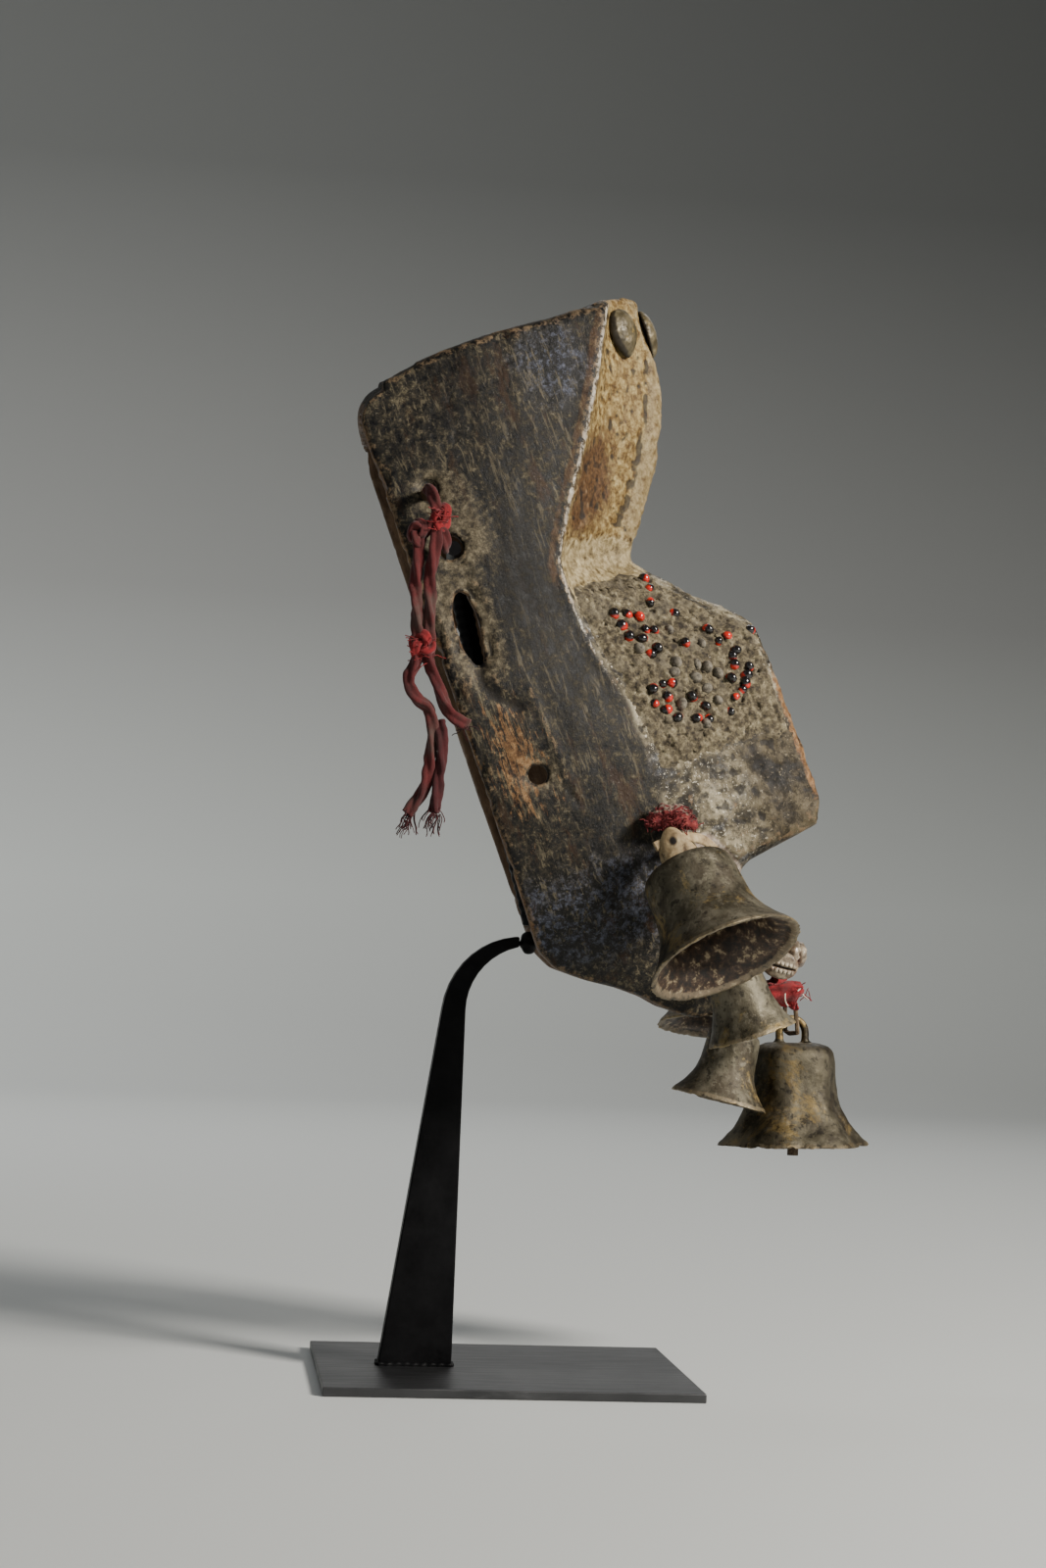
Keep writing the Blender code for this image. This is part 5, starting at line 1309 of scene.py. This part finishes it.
THREAD = thread.done(thread.ramp(thread.noise(300, 3, 0.6), (0.4, (0.42, 0.36, 0.28)),
                                 (0.6, (0.68, 0.62, 0.52))))
random.seed(21)
low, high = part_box("chin_cloth")
cloud = [Vector((random.uniform(low.x + 0.006, high.x - 0.003),
                 random.uniform(low.y + 0.004, high.y - 0.006),
                 low.z + random.uniform(0.003, 0.012))) for _ in range(26)]
mesh = grown(cloud, thread_tree("chin_threads", CHIN_RAG, 0.006, 0.00025, 0.9))
add_piece("chin_red_threads", mesh, CHIN_RAG)
mesh = grown(cloud[:5], thread_tree("chin_pale_threads", THREAD, 0.005, 0.00035, 0.7))
add_piece("chin_pale_threads", mesh, THREAD)
print("chin cloth:", len(wad.polygons), "faces")

# %% [markdown]
# A tuft of red yarn is stuffed over the corner of the mouth on the near side. Its body is a
# matted lump; loose yarn grows out of the lump's own surface and lies down over it.

# %% Yarn at the corner of the mouth
lump = bpy.data.meshes.new("tuft")
bm = bmesh.new()
bmesh.ops.create_uvsphere(bm, u_segments=48, v_segments=32, radius=1.0)
for v in bm.verts:
    v.co = Vector((v.co.x * 11.5, v.co.y * 5.5,
                   v.co.z * (8.0 if v.co.z > 0 else 3.5) - 2.2 * v.co.x * v.co.x))
bm.to_mesh(lump)
bm.free()
lump.transform(MASK_FRAME @ Matrix.Translation(Vector((72, -61.5, -217)) * MM)
               @ Matrix.Rotation(LEAN, 4, "Y") @ Matrix.Scale(MM, 4))
tuft = skinned(lump, 0.0006, soften=4)
xyz, out = places_of(tuft), normals_of(tuft)
mm = xyz * 1000
matted = 0.8 * grain(mm, 1 / 4.5, 3, 91.0) + 0.5 * grain(mm, 1 / 1.6, 2, 93.0)
move_to(tuft, xyz + out * np.clip(matted, -1.4, 1.3)[:, None] * MM)
xyz, out = places_of(tuft), normals_of(tuft)
store(tuft, "top", ramp_up(out[:, 2], 0.25, 0.75))
yarn = Finish("mouth_yarn_red", roughness=0.95)
yarn_tone = yarn.noise(420, 4, 0.7)
yarn_red = yarn.ramp(yarn_tone, (0.34, (0.040, 0.005, 0.007)), (0.50, (0.145, 0.014, 0.016)),
                     (0.68, (0.26, 0.050, 0.040)))
crusted = yarn.patch(yarn.zone("top"), yarn.noise(240, 4, 0.7), 0.46, 0.60)
YARN = yarn.done(yarn.mix(yarn.maths("MULTIPLY", crusted, 0.8), yarn_red, (0.20, 0.165, 0.125)),
                 height=yarn_tone, strength=0.9, depth=0.0006)
add_piece("mouth_yarn_tuft", tuft, YARN, ["mouth_yarn"])
random.seed(33)
outside = [k for k in range(len(xyz)) if out[k, 1] < 0.1]
roots = random.sample(outside, 260)
mesh = grown([Vector(xyz[k]) - Vector(out[k]) * 0.0006 for k in roots],
             thread_tree("yarn_strands", YARN, 0.0036, 0.00024, 2.2))
store(mesh, "top", np.zeros(len(mesh.vertices)))
add_piece("mouth_yarn_strands", mesh, YARN)
print("yarn:", len(tuft.polygons) + len(mesh.polygons), "faces")

# %% [markdown]
# The big bell hangs from a folded piece of hide. The hide wraps the bell's loop as a short sleeve
# with an awl hole through it, painted on as a near-black spot of painted shade, and a narrow strip
# runs from the fold up to the mouth's corner.

# %% Hide at the big bell
hide = Finish("worn_hide", roughness=0.72, turned=True)
hide_tone = hide.noise(150, 5, 0.65)
hide_pores = hide.noise(700, 4, 0.7)
hide_colour = hide.ramp(hide_tone, (0.28, (0.115, 0.070, 0.030)), (0.46, (0.315, 0.225, 0.115)),
                        (0.62, (0.460, 0.365, 0.215)), (0.80, (0.58, 0.50, 0.34)))
hide_colour = hide.lay(hide.noise(75, 5, 0.75, distortion=0.6), 0.56, 0.64, 0.85, hide_colour,
                       (0.065, 0.036, 0.018))
# painted shade: a near-black spot stands for the dark inside of the awl hole
hide_colour = hide.mix(hide.zone("hole"), hide_colour, (0.014, 0.009, 0.006))
HIDE = hide.done(hide_colour, hide.ramp(hide_tone, (0.3, 0.55), (0.7, 0.85)),
                 hide.mix(0.5, hide_tone, hide_pores), strength=0.7, depth=0.0007)
_, _, bell_height, bell_mouth, bell_axis, bell_loop_turn = BELLS["bell_near_cheek"][:6]
BELL_PLACE = (Matrix.Translation(Vector(bell_mouth) * MM) @ turn_to(-Vector(bell_axis).normalized(), 0)
              @ Matrix.Rotation(math.radians(bell_loop_turn), 4, "Z"))
bm = bmesh.new()
hole_mark = bm.verts.layers.float.new("hole")
SLEEVE = (8.8, 5.6, 15.0)            # half width, half depth, height in millimetres
HIDE_THICK = 1.5
AROUND = 96
skins = []
for inset in (0.0, HIDE_THICK):
    rows = []
    for i in range(31):
        t = i / 30
        row = []
        for j in range(AROUND):
            a = 2 * math.pi * j / AROUND
            pinch = 1 - 0.30 * t * t
            crease = noise.noise(Vector((2 * math.cos(a), 2 * math.sin(a), 3 * t)))
            fold = 1 + 0.05 * math.cos(3 * a + 4 * t) + 0.05 * crease
            x = (SLEEVE[0] * pinch * fold - inset) * math.cos(a)
            y = (SLEEVE[1] * (1 + 0.15 * (1 - t)) * fold - inset) * math.sin(a)
            z = bell_height - 0.8 + SLEEVE[2] * t * (1 - 0.16 * math.cos(2 * a))
            vert = bm.verts.new(Vector((x, y, z)) * MM)
            # painted shade: marks where the awl hole is painted dark
            off = math.hypot((a - 1.5 * math.pi) * SLEEVE[0] * 0.9, (t - 0.62) * SLEEVE[2])
            vert[hole_mark] = max(0.0, min(1.0, (2.1 - off) / 0.7))
            row.append(vert)
        rows.append(row)
    skins.append(rows)
join_rings(bm, skins[0])
join_rings(bm, skins[1], -1)
for end in (0, -1):
    for j in range(AROUND):
        n = (j + 1) % AROUND
        bm.faces.new((skins[0][end][j], skins[0][end][n], skins[1][end][n], skins[1][end][j]))
sleeve = mesh_of(bm, "sleeve")
sleeve.transform(BELL_PLACE)
add_piece("hide_sleeve", sleeve, HIDE, ["hide_strap"])

SLEEVE_TOP = BELL_PLACE @ (Vector((0, 0, bell_height + 12.5)) * MM)
STRIP_ROUTE = [from_mask(88, -50, -238), from_mask(83, -56, -229), SLEEVE_TOP + Vector((0.002, 0, 0.0015)),
               SLEEVE_TOP - Vector((0.008, 0.002, 0.003))]
strip_points, strip_length = spread(STRIP_ROUTE, 60)
bm = bmesh.new()
rings = []
for k, p in enumerate(strip_points):
    before, after = strip_points[max(0, k - 1)], strip_points[min(len(strip_points) - 1, k + 1)]
    ahead_way = (after - before).normalized()
    wide = ahead_way.cross(Vector((0, -1, 0.25))).normalized()
    thick = wide.cross(ahead_way)
    half = (2.3 + 0.5 * noise.noise(Vector((k * 0.12, 4, 0)))) * MM
    rings.append([bm.verts.new(p + wide * half * math.copysign(abs(math.cos(a)) ** 0.5, math.cos(a))
                               + thick * 0.9 * MM * math.sin(a))
                  for a in (2 * math.pi * j / 20 for j in range(20))])
join_rings(bm, rings)
bm.faces.new(rings[0])
bm.faces.new(rings[-1])
add_piece("hide_strip", mesh_of(bm, "strip"), HIDE)
print("hide strip is", round(strip_length * 1000), "mm long")
thong = Finish("dark_thong", roughness=0.8)
thong_tone = thong.noise(260, 5, 0.7)
THONG = thong.done(thong.ramp(thong_tone, (0.32, (0.030, 0.018, 0.010)), (0.55, (0.115, 0.075, 0.040)),
                              (0.75, (0.24, 0.175, 0.105))), height=thong_tone, strength=0.7)
for node in ("thong_near_jaw", "thong_low_jaw", "thong_far_jaw", "thong_chin"):
    repaint(node, THONG)

# %% [markdown]
# The stand is plain steel: a brushed plate with fine scratches, a post blackened and waxed to a
# satin, and weld beads where one piece meets the next.

# %% Steel of the stand
plate = Finish("brushed_plate", roughness=0.42, metallic=0.85)
brushed = plate.noise(90, 5, 0.7, stretch=(0.35, 7.0, 1.0))
plate_cloud = plate.noise(16, 4, 0.6)
plate_colour = plate.ramp(plate_cloud, (0.30, (0.050, 0.051, 0.053)), (0.70, (0.098, 0.099, 0.101)))
plate_colour = plate.lay(brushed, 0.58, 0.72, 0.5, plate_colour, (0.165, 0.167, 0.170))
repaint("base_plate", plate.done(plate_colour, plate.ramp(brushed, (0.3, 0.30), (0.7, 0.55)), brushed,
                                 strength=0.22, depth=0.0002))
satin = Finish("black_satin", roughness=0.4)
satin.shader.inputs["Specular IOR Level"].default_value = 0.08
satin_tone = satin.noise(60, 5, 0.65)
satin_fine = satin.noise(420, 4, 0.7)
satin_colour = satin.ramp(satin_tone, (0.35, (0.0022, 0.0022, 0.0025)),
                          (0.68, (0.0070, 0.0070, 0.0075)))
BLACK = satin.done(satin_colour, satin.ramp(satin_fine, (0.3, 0.34), (0.7, 0.58)),
                   satin.mix(0.5, satin_tone, satin_fine), strength=0.3, depth=0.0004)
for node in ("stand_post", "stand_cross_pin"):
    repaint(node, BLACK)
for node, voxel in (("stand_spine", 0.0009), ("stand_weld", 0.0006)):
    mesh = even_skin([node], voxel, soften=4)
    xyz, out = places_of(mesh), normals_of(mesh)
    beads = 0.30 * grain(xyz * 1000, 1 / 4.0, 2, 97.0) + 0.22 * np.sin(xyz[:, 2] * 1000 * 1.5)
    move_to(mesh, xyz + out * np.minimum(beads, 0.28)[:, None] * MM)
    add_piece(node + "_steel", mesh, BLACK, [node])
plate_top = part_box("base_plate")[1].z
FOOT = (-0.0553, -0.0223, 0.004)      # the foot's back, its front and its half thickness
back, front, half = FOOT
corners = [Vector((x, y, plate_top + 0.0004))
           for x, y in ((back, -half), (front, -half), (front, half), (back, half))]
for k, a in enumerate(corners):
    b = corners[(k + 1) % 4]
    bead_points = [a.lerp(b, t / 50) for t in range(51)]
    bead = sweep(bead_points, 0.0013, lobes=1, twist=26, sides=14, rough=0.3, seed=k + 1.5, lobe_depth=0.3)
    add_piece("foot_weld_" + str(k + 1), bead, BLACK)
print("stand finished")
